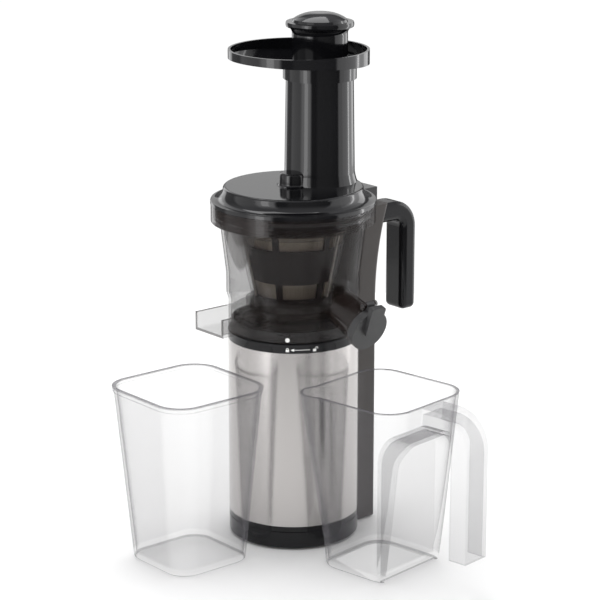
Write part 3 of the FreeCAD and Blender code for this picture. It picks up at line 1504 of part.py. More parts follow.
os.makedirs("parts", exist_ok=True)
for item in PIECES:
    item.Shape.exportStep(f"parts/{item.Label}.step")
    print(f"{item.Label}: {len(item.Shape.Solids)} solids, {item.Shape.Volume / 1000:.1f} cm3")
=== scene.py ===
"""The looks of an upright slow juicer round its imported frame: finishes, printed marks, wire cloth,
ribbed feet and the rings of its cord grip. Lengths are in metres and the juicer's axis is at x = y = 0."""
import bmesh
import bpy
import math
from mathutils import Matrix, Vector


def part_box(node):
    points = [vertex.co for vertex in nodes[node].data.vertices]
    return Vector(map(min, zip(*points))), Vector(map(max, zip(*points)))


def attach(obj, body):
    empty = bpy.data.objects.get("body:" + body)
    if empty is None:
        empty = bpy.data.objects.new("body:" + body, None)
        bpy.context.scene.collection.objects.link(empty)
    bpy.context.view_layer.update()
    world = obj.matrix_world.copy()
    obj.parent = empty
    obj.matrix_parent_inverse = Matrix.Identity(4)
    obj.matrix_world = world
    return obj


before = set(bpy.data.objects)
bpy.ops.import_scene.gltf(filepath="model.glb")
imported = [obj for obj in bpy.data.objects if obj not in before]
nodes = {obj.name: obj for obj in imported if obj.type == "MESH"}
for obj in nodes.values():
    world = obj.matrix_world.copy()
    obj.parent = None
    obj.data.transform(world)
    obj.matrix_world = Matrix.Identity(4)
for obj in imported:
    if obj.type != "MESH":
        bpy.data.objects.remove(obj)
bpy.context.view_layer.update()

# ---------------------------------------------------------------- table, backdrop, camera and lights
# The juicer stands on a plain white table top in a white room. A long lens looks down on it a little,
# from the corner between the pulp chute and the juice spout.
VIEW_TURN, VIEW_DROP = 50.0, 15.6
VIEW_DISTANCE, VIEW_HEIGHT, VIEW_OFFSET = 1.882, 0.732, 0.0056
FOCAL_LENGTH = 137.5
bpy.context.scene.view_settings.view_transform = "Standard"

camera_data = bpy.data.cameras.new("camera")
camera_data.lens = FOCAL_LENGTH
camera_data.sensor_width = 36.0
camera_data.clip_end = 50.0
camera = bpy.data.objects.new("camera", camera_data)
bpy.context.scene.collection.objects.link(camera)
bpy.context.scene.camera = camera
view_turn = math.radians(VIEW_TURN)
towards = Vector((math.sin(view_turn), -math.cos(view_turn), 0))
sideways = Vector((math.cos(view_turn), math.sin(view_turn), 0))
camera.location = towards * VIEW_DISTANCE + sideways * VIEW_OFFSET + Vector((0, 0, VIEW_HEIGHT))
camera.rotation_euler = (math.radians(90 - VIEW_DROP), 0, view_turn)


def new_material(name):
    """An empty node material with a shader, its output and the object coordinates."""
    material = bpy.data.materials.new(name)
    material.use_nodes = True
    tree = material.node_tree
    tree.nodes.clear()
    shader = tree.nodes.new("ShaderNodeBsdfPrincipled")
    output = tree.nodes.new("ShaderNodeOutputMaterial")
    place = tree.nodes.new("ShaderNodeTexCoord")
    tree.links.new(shader.outputs["BSDF"], output.inputs["Surface"])
    return material, tree, shader, place


def table_top():
    """A white painted board: faint mottling in its sheen."""
    material, tree, shader, place = new_material("table_white")
    mottle = tree.nodes.new("ShaderNodeTexNoise")
    mottle.inputs["Scale"].default_value = 6
    tree.links.new(place.outputs["Object"], mottle.inputs["Vector"])
    ramp = tree.nodes.new("ShaderNodeMapRange")
    ramp.inputs["To Min"].default_value = 0.55
    ramp.inputs["To Max"].default_value = 0.65
    tree.links.new(mottle.outputs["Fac"], ramp.inputs["Value"])
    tree.links.new(ramp.outputs["Result"], shader.inputs["Roughness"])
    shader.inputs["Base Color"].default_value = (0.95, 0.95, 0.95, 1)
    shader.inputs["Specular IOR Level"].default_value = 0.2
    return material


floor_mesh = bpy.data.meshes.new("table_top")
FLOOR_RADIUS, FLOOR_SIDES = 0.78, 96
floor_rim = [
    (FLOOR_RADIUS * math.cos(math.tau * side / FLOOR_SIDES),
     FLOOR_RADIUS * math.sin(math.tau * side / FLOOR_SIDES), 0)
    for side in range(FLOOR_SIDES)
]
floor_mesh.from_pydata(floor_rim, [], [list(range(FLOOR_SIDES))])
floor_mesh.materials.append(table_top())
floor = bpy.data.objects.new("table_top", floor_mesh)
bpy.context.scene.collection.objects.link(floor)


# What polished pieces reflect, as (turn from the camera's side in degrees, brightness). Bright boards
# stand to the left, the right and behind the juicer, with dark room between them.
ROOM_BANDS = [
    (-180, 0.07), (-163, 0.06), (-158, 0.70), (-142, 0.66), (-137, 0.12), (-112, 0.16), (-104, 0.46),
    (-68, 0.46), (-60, 1.00), (-33, 1.00), (-27, 0.05), (-12, 0.05), (-6, 0.11), (34, 0.09), (62, 0.05),
    (66, 0.62), (104, 0.80), (107, 1.30), (115, 1.30), (119, 0.90), (140, 0.55), (148, 0.50),
    (153, 0.08), (180, 0.07),
]


def studio_world():
    """A white room for the eye and for light through clear plastic, banded for what gloss reflects."""
    world = bpy.data.worlds.new("studio")
    bpy.context.scene.world = world
    world.use_nodes = True
    tree = world.node_tree
    tree.nodes.clear()
    output = tree.nodes.new("ShaderNodeOutputWorld")
    seen = tree.nodes.new("ShaderNodeBackground")
    seen.inputs["Color"].default_value = (1, 1, 1, 1)
    seen.inputs["Strength"].default_value = 1.03
    mirrored = tree.nodes.new("ShaderNodeBackground")
    mirrored.inputs["Strength"].default_value = 1.7
    path = tree.nodes.new("ShaderNodeLightPath")
    mix = tree.nodes.new("ShaderNodeMixShader")
    place = tree.nodes.new("ShaderNodeTexCoord")
    turned = tree.nodes.new("ShaderNodeMapping")
    turned.inputs["Rotation"].default_value = (0, 0, math.pi / 2 - view_turn)
    split = tree.nodes.new("ShaderNodeSeparateXYZ")
    azimuth = tree.nodes.new("ShaderNodeMath")
    azimuth.operation = "ARCTAN2"
    share = tree.nodes.new("ShaderNodeMapRange")
    share.inputs["From Min"].default_value = -math.pi
    share.inputs["From Max"].default_value = math.pi
    bands = tree.nodes.new("ShaderNodeValToRGB")
    ramp = bands.color_ramp
    while len(ramp.elements) < len(ROOM_BANDS):
        ramp.elements.new(0.5)
    for index, (turn, level) in enumerate(ROOM_BANDS):
        ramp.elements[index].position = (turn + 180) / 360
        ramp.elements[index].color = (level, level, level * 1.01, 1)
    ceiling = tree.nodes.new("ShaderNodeMapRange")
    ceiling.interpolation_type = "SMOOTHSTEP"
    ceiling.inputs["From Min"].default_value = 0.35
    ceiling.inputs["From Max"].default_value = 0.9
    blend = tree.nodes.new("ShaderNodeMix")
    blend.data_type = "RGBA"
    blend.inputs[7].default_value = (0.3, 0.3, 0.31, 1)
    tree.links.new(place.outputs["Generated"], turned.inputs["Vector"])
    tree.links.new(turned.outputs["Vector"], split.inputs["Vector"])
    tree.links.new(split.outputs["Y"], azimuth.inputs[0])
    tree.links.new(split.outputs["X"], azimuth.inputs[1])
    tree.links.new(azimuth.outputs["Value"], share.inputs["Value"])
    tree.links.new(share.outputs["Result"], bands.inputs["Fac"])
    tree.links.new(split.outputs["Z"], ceiling.inputs["Value"])
    tree.links.new(ceiling.outputs["Result"], blend.inputs["Factor"])
    tree.links.new(bands.outputs["Color"], blend.inputs[6])
    tree.links.new(blend.outputs[2], mirrored.inputs["Color"])
    tree.links.new(path.outputs["Is Glossy Ray"], mix.inputs["Fac"])
    tree.links.new(seen.outputs["Background"], mix.inputs[1])
    tree.links.new(mirrored.outputs["Background"], mix.inputs[2])
    tree.links.new(mix.outputs["Shader"], output.inputs["Surface"])


studio_world()


def soft_box(name, turn, height, distance, width, tall, brightness):
    """A soft light aimed at the juicer's axis, turned from the camera's side by turn degrees."""
    light = bpy.data.lights.new(name, "AREA")
    light.shape = "RECTANGLE"
    light.size, light.size_y = width, tall
    light.energy = brightness * math.pi * width * tall
    lamp = bpy.data.objects.new(name, light)
    bpy.context.scene.collection.objects.link(lamp)
    angle = view_turn + math.radians(turn)
    lamp.location = (math.sin(angle) * distance, -math.cos(angle) * distance, height)
    aim = Vector((0, 0, 0.25)) - lamp.location
    lamp.rotation_euler = aim.to_track_quat("-Z", "Y").to_euler()
    lamp.visible_camera = False


soft_box("left_board", -46, 0.42, 1.5, 0.34, 1.3, 1.6)
soft_box("right_strip", 110, 0.42, 1.4, 0.10, 1.3, 3.0)
soft_box("right_board", 138, 0.5, 1.5, 0.50, 1.0, 0.9)
soft_box("back_board", 186, 0.80, 1.5, 1.5, 0.6, 0.55)
soft_box("ceiling_board", 200, 1.9, 0.5, 1.2, 1.2, 2.2)


# ---------------------------------------------------------------- rubber feet
# Four black rubber feet, pressed into the bottom cover by their stems. Their sides are ribbed and
# the pads are slightly dished, as moulded rubber is.
def grained(name, colour, roughness, spread, grain, depth, coat=0.0):
    """A moulded finish: its colour and gloss drift a little and its skin has a fine grain."""
    material, tree, shader, place = new_material(name)
    drift = tree.nodes.new("ShaderNodeTexNoise")
    drift.inputs["Scale"].default_value = 35
    drift.inputs["Detail"].default_value = 4
    tree.links.new(place.outputs["Object"], drift.inputs["Vector"])
    tint = tree.nodes.new("ShaderNodeMix")
    tint.data_type = "RGBA"
    tint.inputs[6].default_value = (*[channel * 0.86 for channel in colour], 1)
    tint.inputs[7].default_value = (*[min(1, channel * 1.14) for channel in colour], 1)
    tree.links.new(drift.outputs["Fac"], tint.inputs["Factor"])
    tree.links.new(tint.outputs[2], shader.inputs["Base Color"])
    gloss = tree.nodes.new("ShaderNodeMapRange")
    gloss.inputs["To Min"].default_value = max(0.01, roughness - spread)
    gloss.inputs["To Max"].default_value = roughness + spread
    tree.links.new(drift.outputs["Fac"], gloss.inputs["Value"])
    tree.links.new(gloss.outputs["Result"], shader.inputs["Roughness"])
    skin = tree.nodes.new("ShaderNodeTexNoise")
    skin.inputs["Scale"].default_value = grain
    skin.inputs["Detail"].default_value = 3
    tree.links.new(place.outputs["Object"], skin.inputs["Vector"])
    bump = tree.nodes.new("ShaderNodeBump")
    bump.inputs["Strength"].default_value = depth
    bump.inputs["Distance"].default_value = 0.0003
    tree.links.new(skin.outputs["Fac"], bump.inputs["Height"])
    tree.links.new(bump.outputs["Normal"], shader.inputs["Normal"])
    shader.inputs["Coat Weight"].default_value = coat
    shader.inputs["Coat Roughness"].default_value = 0.03
    return material


def finish_node(name, material):
    """Gives a frame part its finish on every slot it has."""
    mesh = nodes[name].data
    for index in range(max(1, len(mesh.materials))):
        if index < len(mesh.materials):
            mesh.materials[index] = material
        else:
            mesh.materials.append(material)


black_rubber = grained("black_rubber", (0.02, 0.02, 0.02), 0.62, 0.08, 1400, 0.35)
for seal in ("rubber_feet", "shaft_seal", "pulp_plug", "lid_seal", "cap_seal", "cord_gland"):
    finish_node(seal, black_rubber)


def mesh_object(name, build, material, body, smooth=True):
    """A piece in its final place, riding on a body, from a function that fills a bmesh."""
    shape = bmesh.new()
    build(shape)
    mesh = bpy.data.meshes.new(name)
    shape.to_mesh(mesh)
    shape.free()
    for face in mesh.polygons:
        face.use_smooth = smooth
    mesh.materials.append(material)
    piece = bpy.data.objects.new(name, mesh)
    bpy.context.scene.collection.objects.link(piece)
    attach(piece, body)
    return piece


class Net:
    """A Geometry Nodes tree with named sizes as its inputs."""

    def __init__(self, name, **sizes):
        self.tree = bpy.data.node_groups.new(name, "GeometryNodeTree")
        self.tree.interface.new_socket("Geometry", in_out="OUTPUT", socket_type="NodeSocketGeometry")
        self.values = {}
        for title, value in sizes.items():
            kind = "NodeSocketInt" if isinstance(value, int) else "NodeSocketFloat"
            item = self.tree.interface.new_socket(title, in_out="INPUT", socket_type=kind)
            self.values[item.identifier] = value
        self.inputs = self.add("NodeGroupInput").outputs

    def add(self, kind, **links):
        """A new node; each link is a socket's name with a value or another node's output."""
        node = self.tree.nodes.new(kind)
        for title, source in links.items():
            self.set(node.inputs[title.replace("_", " ")], source)
        return node

    def set(self, socket, source):
        if isinstance(source, bpy.types.NodeSocket):
            self.tree.links.new(source, socket)
        else:
            socket.default_value = source

    def math(self, operation, first, second):
        node = self.tree.nodes.new("ShaderNodeMath")
        node.operation = operation
        self.set(node.inputs[0], first)
        self.set(node.inputs[1], second)
        return node.outputs[0]

    def vector(self, x=0.0, y=0.0, z=0.0):
        return self.add("ShaderNodeCombineXYZ", X=x, Y=y, Z=z).outputs[0]

    def finish(self, shape, material):
        """Closes the tree with real meshes and the finish."""
        real = self.add("GeometryNodeRealizeInstances", Geometry=shape)
        coat = self.add("GeometryNodeSetMaterial", Geometry=real.outputs[0], Material=material)
        output = self.tree.nodes.new("NodeGroupOutput")
        self.tree.links.new(coat.outputs[0], output.inputs[0])

    def make(self, name, body, slot, place=Matrix()):
        """Turns the tree's result into a plain mesh that rides on a body."""
        holder = bpy.data.objects.new(name, bpy.data.meshes.new(name))
        bpy.context.scene.collection.objects.link(holder)
        modifier = holder.modifiers.new("tree", "NODES")
        modifier.node_group = self.tree
        for identifier, value in self.values.items():
            modifier[identifier] = value
        view = bpy.context.evaluated_depsgraph_get()
        mesh = bpy.data.meshes.new_from_object(holder.evaluated_get(view))
        holder.modifiers.remove(modifier)
        mesh.transform(place)
        mesh.name = name
        holder.data = mesh
        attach(holder, body)
        return holder


FOOT_BARS, FOOT_BAR_RADIUS, FEET = 28, 0.00028, 4
FOOT_RADIUS, RIB_FOOT, RIB_HEAD = 0.0065, 0.0004, 0.0021
foot_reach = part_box("rubber_feet")[1].x - FOOT_RADIUS


def foot_ribs():
    """Small upright ribs round each foot's side."""
    net = Net("foot_ribs", Bars=FOOT_BARS, Feet=FEET, Bar_Radius=FOOT_BAR_RADIUS,
              Foot_Radius=FOOT_RADIUS, Height=RIB_HEAD, Reach=foot_reach * math.sqrt(2))
    base = net.vector(net.inputs["Foot_Radius"], 0.0, RIB_FOOT)
    top = net.vector(net.inputs["Foot_Radius"], 0.0, net.inputs["Height"])
    line = net.add("GeometryNodeCurvePrimitiveLine", Start=base, End=top)
    section = net.add("GeometryNodeCurvePrimitiveCircle", Resolution=6, Radius=net.inputs["Bar_Radius"])
    bar = net.add("GeometryNodeCurveToMesh", Curve=line.outputs[0], Profile_Curve=section.outputs[0],
                  Fill_Caps=True)
    places = net.add("GeometryNodePoints", Count=net.inputs["Bars"])
    index = net.add("GeometryNodeInputIndex").outputs[0]
    turn = net.math("DIVIDE", net.math("MULTIPLY", index, math.tau), net.inputs["Bars"])
    ring = net.add("GeometryNodeInstanceOnPoints", Points=places.outputs[0], Instance=bar.outputs[0],
                   Rotation=net.vector(z=turn))
    corner = net.math("ADD", net.math("MULTIPLY", index, math.tau / FEET), math.pi / 4)
    spot = net.vector(
        net.math("MULTIPLY", net.math("COSINE", corner, 0.0), net.inputs["Reach"]),
        net.math("MULTIPLY", net.math("SINE", corner, 0.0), net.inputs["Reach"]),
    )
    feet = net.add("GeometryNodePoints", Count=net.inputs["Feet"], Position=spot)
    all_feet = net.add("GeometryNodeInstanceOnPoints", Points=feet.outputs[0], Instance=ring.outputs[0])
    net.finish(all_feet.outputs[0], black_rubber)
    return net


foot_ribs().make("foot_ribs", "base", "rubber_feet")

# ---------------------------------------------------------------- bottom cover, base ring and housings
# The cover is a plain matt plate with vent slots. The base ring above it is glossy black ABS with a
# shadow line round it, and the steel sleeve stands on its shoulder.
matt_black = grained("matt_black_plastic", (0.022, 0.022, 0.023), 0.5, 0.06, 1800, 0.3)
gloss_black = grained("gloss_black_plastic", (0.006, 0.006, 0.007), 0.11, 0.02, 260, 0.03)
gloss_black.node_tree.nodes["Principled BSDF"].inputs["Specular IOR Level"].default_value = 0.3
for part in ("bottom_cover", "inner_frame", "drive_deck", "switch_housing", "interlock_plunger"):
    finish_node(part, matt_black)
for part in ("base_housing", "top_collar", "switch_rocker"):
    finish_node(part, gloss_black)


# ---------------------------------------------------------------- steel sleeve and metal parts
# A rolled stainless sleeve, brushed round its girth, so highlights stand upright on it as bands.
def brushed(name, colour, roughness, stretch, strength, along=0.25, smear=0.6):
    """Metal with fine lines one way: they vary its colour and gloss and smear what it reflects."""
    material, tree, shader, place = new_material(name)
    stretched = tree.nodes.new("ShaderNodeMapping")
    stretched.inputs["Scale"].default_value = stretch
    tree.links.new(place.outputs["Object"], stretched.inputs["Vector"])
    lines = tree.nodes.new("ShaderNodeTexNoise")
    lines.inputs["Scale"].default_value = 1
    lines.inputs["Detail"].default_value = 6
    lines.inputs["Roughness"].default_value = 0.65
    tree.links.new(stretched.outputs["Vector"], lines.inputs["Vector"])
    bump = tree.nodes.new("ShaderNodeBump")
    bump.inputs["Strength"].default_value = strength
    bump.inputs["Distance"].default_value = 0.0001
    tree.links.new(lines.outputs["Fac"], bump.inputs["Height"])
    tree.links.new(bump.outputs["Normal"], shader.inputs["Normal"])
    gloss = tree.nodes.new("ShaderNodeMapRange")
    gloss.inputs["To Min"].default_value = roughness - 0.05
    gloss.inputs["To Max"].default_value = roughness + 0.07
    tree.links.new(lines.outputs["Fac"], gloss.inputs["Value"])
    tree.links.new(gloss.outputs["Result"], shader.inputs["Roughness"])
    tint = tree.nodes.new("ShaderNodeMix")
    tint.data_type = "RGBA"
    tint.inputs[6].default_value = (*[channel * 0.93 for channel in colour], 1)
    tint.inputs[7].default_value = (*[min(1, channel * 1.05) for channel in colour], 1)
    tree.links.new(lines.outputs["Fac"], tint.inputs["Factor"])
    tree.links.new(tint.outputs[2], shader.inputs["Base Color"])
    shader.inputs["Metallic"].default_value = 1
    shader.inputs["Anisotropic"].default_value = smear
    shader.inputs["Anisotropic Rotation"].default_value = along
    grain = tree.nodes.new("ShaderNodeTangent")
    grain.direction_type = "RADIAL"
    grain.axis = "Z"
    tree.links.new(grain.outputs["Tangent"], shader.inputs["Tangent"])
    return material


brushed_steel = brushed("brushed_stainless", (0.52, 0.5, 0.49), 0.23, (9, 9, 2600), 0.22)
turned_steel = brushed("turned_steel", (0.55, 0.55, 0.56), 0.3, (40, 40, 1500), 0.2)
cast_alloy = grained("cast_alloy", (0.45, 0.45, 0.46), 0.42, 0.08, 900, 0.4)
cast_alloy.node_tree.nodes["Principled BSDF"].inputs["Metallic"].default_value = 1
sintered_bronze = grained("sintered_bronze", (0.5, 0.33, 0.16), 0.4, 0.08, 2400, 0.3)
sintered_bronze.node_tree.nodes["Principled BSDF"].inputs["Metallic"].default_value = 1
finish_node("steel_sleeve", brushed_steel)
for part in ("motor_can", "motor_rotor", "countershaft", "countershaft_gear", "output_shaft",
             "idler_pin", "rocker_pin", "handle_screws", "cover_screws"):
    finish_node(part, turned_steel)
for part in ("gearbox_housing", "gearbox_cover", "motor_stator"):
    finish_node(part, cast_alloy)
for part in ("motor_bearings", "shaft_bearings"):
    finish_node(part, sintered_bronze)
natural_nylon = grained("natural_nylon", (0.72, 0.7, 0.64), 0.42, 0.06, 700, 0.2)
for part in ("cooling_fan", "idler_gear", "auger_gear"):
    finish_node(part, natural_nylon)
board_green = grained("board_green", (0.02, 0.1, 0.04), 0.35, 0.05, 500, 0.3)
finish_node("control_board", board_green)

# ---------------------------------------------------------------- cord grip
# The cord's grip is soft black rubber. Its tail is ringed so that it bends evenly.
GRIP_RINGS, RING_RADIUS = 6, 0.0007
FIRST_RING, LAST_RING, RING_PITCH, TAIL_LENGTH = 0.0041, 0.0035, 0.0016, 0.0095
grip_low, grip_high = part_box("cord_gland")


def grip_rings():
    """Rings of shrinking size along the grip's tapered tail, laid along +Z."""
    net = Net("grip_rings", Rings=GRIP_RINGS, Ring_Radius=RING_RADIUS, First=FIRST_RING,
              Last=LAST_RING, Pitch=RING_PITCH)
    path = net.add("GeometryNodeCurvePrimitiveCircle", Resolution=40, Radius=1.0)
    section = net.add("GeometryNodeCurvePrimitiveCircle", Resolution=8, Radius=net.inputs["Ring_Radius"])
    index = net.add("GeometryNodeInputIndex").outputs[0]
    places = net.add("GeometryNodePoints", Count=net.inputs["Rings"])
    paths = net.add("GeometryNodeInstanceOnPoints", Points=places.outputs[0], Instance=path.outputs[0])
    share = net.math("DIVIDE", index, net.math("SUBTRACT", net.inputs["Rings"], 1.0))
    step = net.math("MULTIPLY", share, net.math("SUBTRACT", net.inputs["Last"], net.inputs["First"]))
    size = net.math("ADD", net.inputs["First"], step)
    net.set(paths.inputs["Scale"], net.vector(size, size, 1.0))
    placed = net.add("GeometryNodeTranslateInstances", Instances=paths.outputs[0],
                     Translation=net.vector(z=net.math("MULTIPLY", index, net.inputs["Pitch"])))
    curves = net.add("GeometryNodeRealizeInstances", Geometry=placed.outputs[0])
    rings = net.add("GeometryNodeCurveToMesh", Curve=curves.outputs[0], Profile_Curve=section.outputs[0])
    net.finish(rings.outputs[0], black_rubber)
    return net


grip_axis = Matrix.Translation((0, grip_high.y - TAIL_LENGTH, (grip_low.z + grip_high.z) / 2))
grip_rings().make("grip_rings", "base", "cord_gland", grip_axis @ Matrix.Rotation(-math.pi / 2, 4, "X"))

# ---------------------------------------------------------------- printed marks on the collar
# White pad-printed ink on the glossy collar: a closed padlock, an arrow and an open padlock say which
# way the bowl turns, and a round dot on the bowl lines up with them.
white_ink = grained("white_ink", (0.86, 0.86, 0.84), 0.4, 0.05, 1500, 0.15)
collar_low, collar_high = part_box("top_collar")
collar_radius = collar_high.x
MARK_HEIGHT = (collar_low.z + collar_high.z) / 2 - 0.0008
MARK_DIRECTION = math.radians(-45)
LOCK_SPACING = math.radians(23.5)
INK = 0.00007
LOCK_GAP, HEAD_LENGTH, HEAD_HALF, SHAFT_HALF = 0.0026, 0.0030, 0.00135, 0.00020
SHACKLE_OUTER, SHACKLE_INNER, LEG_SPREAD, LEG_HALF = 0.0011, 0.00065, 0.00088, 0.00022
DOT_RADIUS, DOT_SIDES, DOT_HEIGHT, SKIRT_OVER_RING = 0.0019, 32, 0.0032, 0.0022


def wrap(radius, middle, across, height):
    """A point that lies across (to the right when looked at) and up on an upright cylinder."""
    angle = middle + across / radius
    return Vector((radius * math.cos(angle), radius * math.sin(angle), height))


def ink_patch(shape, outline, radius, middle, level):
    """One printed patch: the outline is laid on the cylinder and given the ink's thickness."""
    low = [shape.verts.new(wrap(radius + 0.00001, middle, x, level + z)) for x, z in outline]
    high = [shape.verts.new(wrap(radius + INK, middle, x, level + z)) for x, z in outline]
    shape.faces.new(high)
    shape.faces.new(low[::-1])
    for index in range(len(outline)):
        following = (index + 1) % len(outline)
        shape.faces.new((low[index], low[following], high[following], high[index]))


def ring_patches(shape, centre, outer, inner, start, sweep, radius, middle, level, steps=14):
    """A curved printed stroke, in short patches that share their ends' places."""
    for step in range(steps):
        angles = [start + sweep * (step + share) / steps for share in (0, 1)]
        corners = [(centre[0] + size * math.cos(angle), centre[1] + size * math.sin(angle))
                   for size, angle in ((outer, angles[0]), (outer, angles[1]),
                                       (inner, angles[1]), (inner, angles[0]))]
        ink_patch(shape, corners if sweep > 0 else corners[::-1], radius, middle, level)


def padlock(shape, middle, lifted):
    """A padlock with a body 2.8 mm wide; a lifted shackle swings out to one side."""
    body = [(-0.0014, -0.0017), (0.0014, -0.0017), (0.0014, 0.0005), (-0.0014, 0.0005)]
    ink_patch(shape, body, collar_radius, middle, MARK_HEIGHT)
    centre = (0.0019, 0.0012) if lifted else (0.0, 0.0007)
    ring_patches(shape, centre, SHACKLE_OUTER, SHACKLE_INNER, 0, math.pi, collar_radius, middle, MARK_HEIGHT)
    foot = centre[1] + 0.00002
    if lifted:
        legs = [(centre[0] - LEG_SPREAD, 0.0005, foot), (centre[0] + LEG_SPREAD, foot - 0.0007, foot)]
    else:
        legs = [(-LEG_SPREAD, 0.00045, foot), (LEG_SPREAD, 0.00045, foot)]
    for x, low, high in legs:
        leg = [(x - LEG_HALF, low), (x + LEG_HALF, low), (x + LEG_HALF, high), (x - LEG_HALF, high)]
        ink_patch(shape, leg, collar_radius, middle, MARK_HEIGHT)


def collar_marks(shape):
    """The two padlocks, and between them an arrow that points at the closed one."""
    padlock(shape, MARK_DIRECTION, False)
    padlock(shape, MARK_DIRECTION + LOCK_SPACING, True)
    middle = MARK_DIRECTION + LOCK_SPACING / 2
    reach = collar_radius * LOCK_SPACING / 2 - LOCK_GAP
    steps = 12
    shaft = 2 * reach - HEAD_LENGTH - LOCK_GAP / 2
    for step in range(steps):
        x0 = -reach + HEAD_LENGTH + shaft * step / steps
        x1 = -reach + HEAD_LENGTH + shaft * (step + 1) / steps
        bar = [(x0, -SHAFT_HALF), (x1, -SHAFT_HALF), (x1, SHAFT_HALF), (x0, SHAFT_HALF)]
        ink_patch(shape, bar, collar_radius, middle, MARK_HEIGHT)
    head = [(-reach, 0), (-reach + HEAD_LENGTH, -HEAD_HALF), (-reach + HEAD_LENGTH, HEAD_HALF)]
    ink_patch(shape, head, collar_radius, middle, MARK_HEIGHT)


def bowl_dot(shape):
    """The round dot on the bowl's skirt, over the closed padlock."""
    skirt_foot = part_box("bowl")[0].z
    skirt_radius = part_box("bayonet_ring")[1].x + SKIRT_OVER_RING
    outline = [(DOT_RADIUS * math.cos(math.tau * side / DOT_SIDES),
                DOT_RADIUS * math.sin(math.tau * side / DOT_SIDES)) for side in range(DOT_SIDES)]
    ink_patch(shape, outline, skirt_radius, MARK_DIRECTION, skirt_foot + DOT_HEIGHT)


mesh_object("collar_marks", collar_marks, white_ink, "base", smooth=False)
mesh_object("bowl_dot", bowl_dot, white_ink, "bowl", smooth=False)


# ---------------------------------------------------------------- bowl, base ring and pulp chute
# The bowl is injection-moulded smoky SAN, about 2 mm thick, with its chute and spout in one piece.
# A black bayonet ring is bonded into its skirt and shows through it.
def clear_plastic(name, colour, roughness, depth, thin, thick, power, cover_and_painted_shade=()):
    """Polished see-through plastic: it hides more where it is seen edge on, and in listed regions, most of
    which paint shade and dark edge lines on it as extra cover. Each region is what it adds to the cover,
    or takes off it, and the axis ranges that it fades in over."""
    material, tree, shader, place = new_material(name)
    wave = tree.nodes.new("ShaderNodeTexNoise")
    wave.inputs["Scale"].default_value = 22
    wave.inputs["Detail"].default_value = 1
    tree.links.new(place.outputs["Object"], wave.inputs["Vector"])
    bump = tree.nodes.new("ShaderNodeBump")
    bump.inputs["Strength"].default_value = depth
    bump.inputs["Distance"].default_value = 0.0004
    tree.links.new(wave.outputs["Fac"], bump.inputs["Height"])
    tree.links.new(bump.outputs["Normal"], shader.inputs["Normal"])
    gloss = tree.nodes.new("ShaderNodeMapRange")
    gloss.inputs["To Min"].default_value = roughness
    gloss.inputs["To Max"].default_value = roughness + 0.03
    tree.links.new(wave.outputs["Fac"], gloss.inputs["Value"])
    tree.links.new(gloss.outputs["Result"], shader.inputs["Roughness"])
    shader.inputs["Base Color"].default_value = (*colour, 1)
    edge = tree.nodes.new("ShaderNodeLayerWeight")
    edge.inputs["Blend"].default_value = 0.5
    curve = tree.nodes.new("ShaderNodeMath")
    curve.operation = "POWER"
    curve.inputs[1].default_value = power
    tree.links.new(edge.outputs["Facing"], curve.inputs[0])
    cover = tree.nodes.new("ShaderNodeMapRange")
    cover.inputs["To Min"].default_value = thin
    cover.inputs["To Max"].default_value = thick
    tree.links.new(curve.outputs[0], cover.inputs["Value"])
    source = cover.outputs["Result"]
    split = tree.nodes.new("ShaderNodeSeparateXYZ")
    tree.links.new(place.outputs["Object"], split.inputs["Vector"])
    # The listed regions change the cover: most of them add painted shade and painted dark edge lines.
    for extra, ranges in cover_and_painted_shade:
        share = None
        for axis, low, high in ranges:
            ramp = tree.nodes.new("ShaderNodeMapRange")
            ramp.inputs["From Min"].default_value = low
            ramp.inputs["From Max"].default_value = high
            ramp.inputs["To Max"].default_value = 1.0 if share else extra
            tree.links.new(split.outputs[axis], ramp.inputs["Value"])
            if share:
                both = tree.nodes.new("ShaderNodeMath")
                both.operation = "MULTIPLY"
                tree.links.new(share, both.inputs[0])
                tree.links.new(ramp.outputs["Result"], both.inputs[1])
                share = both.outputs[0]
            else:
                share = ramp.outputs["Result"]
        total = tree.nodes.new("ShaderNodeMath")
        total.operation = "ADD"
        total.use_clamp = True
        tree.links.new(source, total.inputs[0])
        tree.links.new(share, total.inputs[1])
        source = total.outputs[0]
    tree.links.new(source, shader.inputs["Alpha"])
    return material


bowl_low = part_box("bowl")[0]
CHUTE_TOP = bowl_low.z + 0.0253
SPOUT_CROWN = bowl_low.z + 0.0421
# Painted shade on the smoky plastic: more cover on the spout, and painted dark lines along the chute's
# edges.
SMOKY_PAINTED_SHADE = [
    (0.42, [("X", 0.0635, 0.0690), ("Z", SPOUT_CROWN + 0.0030, SPOUT_CROWN)]),           # the spout: painted shade for its dark inside and stacked walls
    (0.50, [("Y", bowl_low.y + 0.0006, bowl_low.y + 0.0003)]),                       # a painted dark line along the chute's end
    (0.45, [("Y", -0.0580, -0.0585), ("Z", CHUTE_TOP - 0.0006, CHUTE_TOP - 0.0003)]),  # and along its top
]
smoky_plastic = clear_plastic(
    "smoky_plastic", (0.018, 0.0125, 0.011), 0.09, 0.05, 0.21, 0.86, 6.0, SMOKY_PAINTED_SHADE)
wiper_plastic = clear_plastic("wiper_plastic", (0.03, 0.025, 0.021), 0.2, 0.1, 0.14, 0.7, 4.0)
finish_node("bowl", smoky_plastic)
finish_node("wiper_frame", wiper_plastic)
ring_black = grained("ring_black_plastic", (0.008, 0.008, 0.009), 0.16, 0.03, 300, 0.04)
finish_node("bayonet_ring", ring_black)

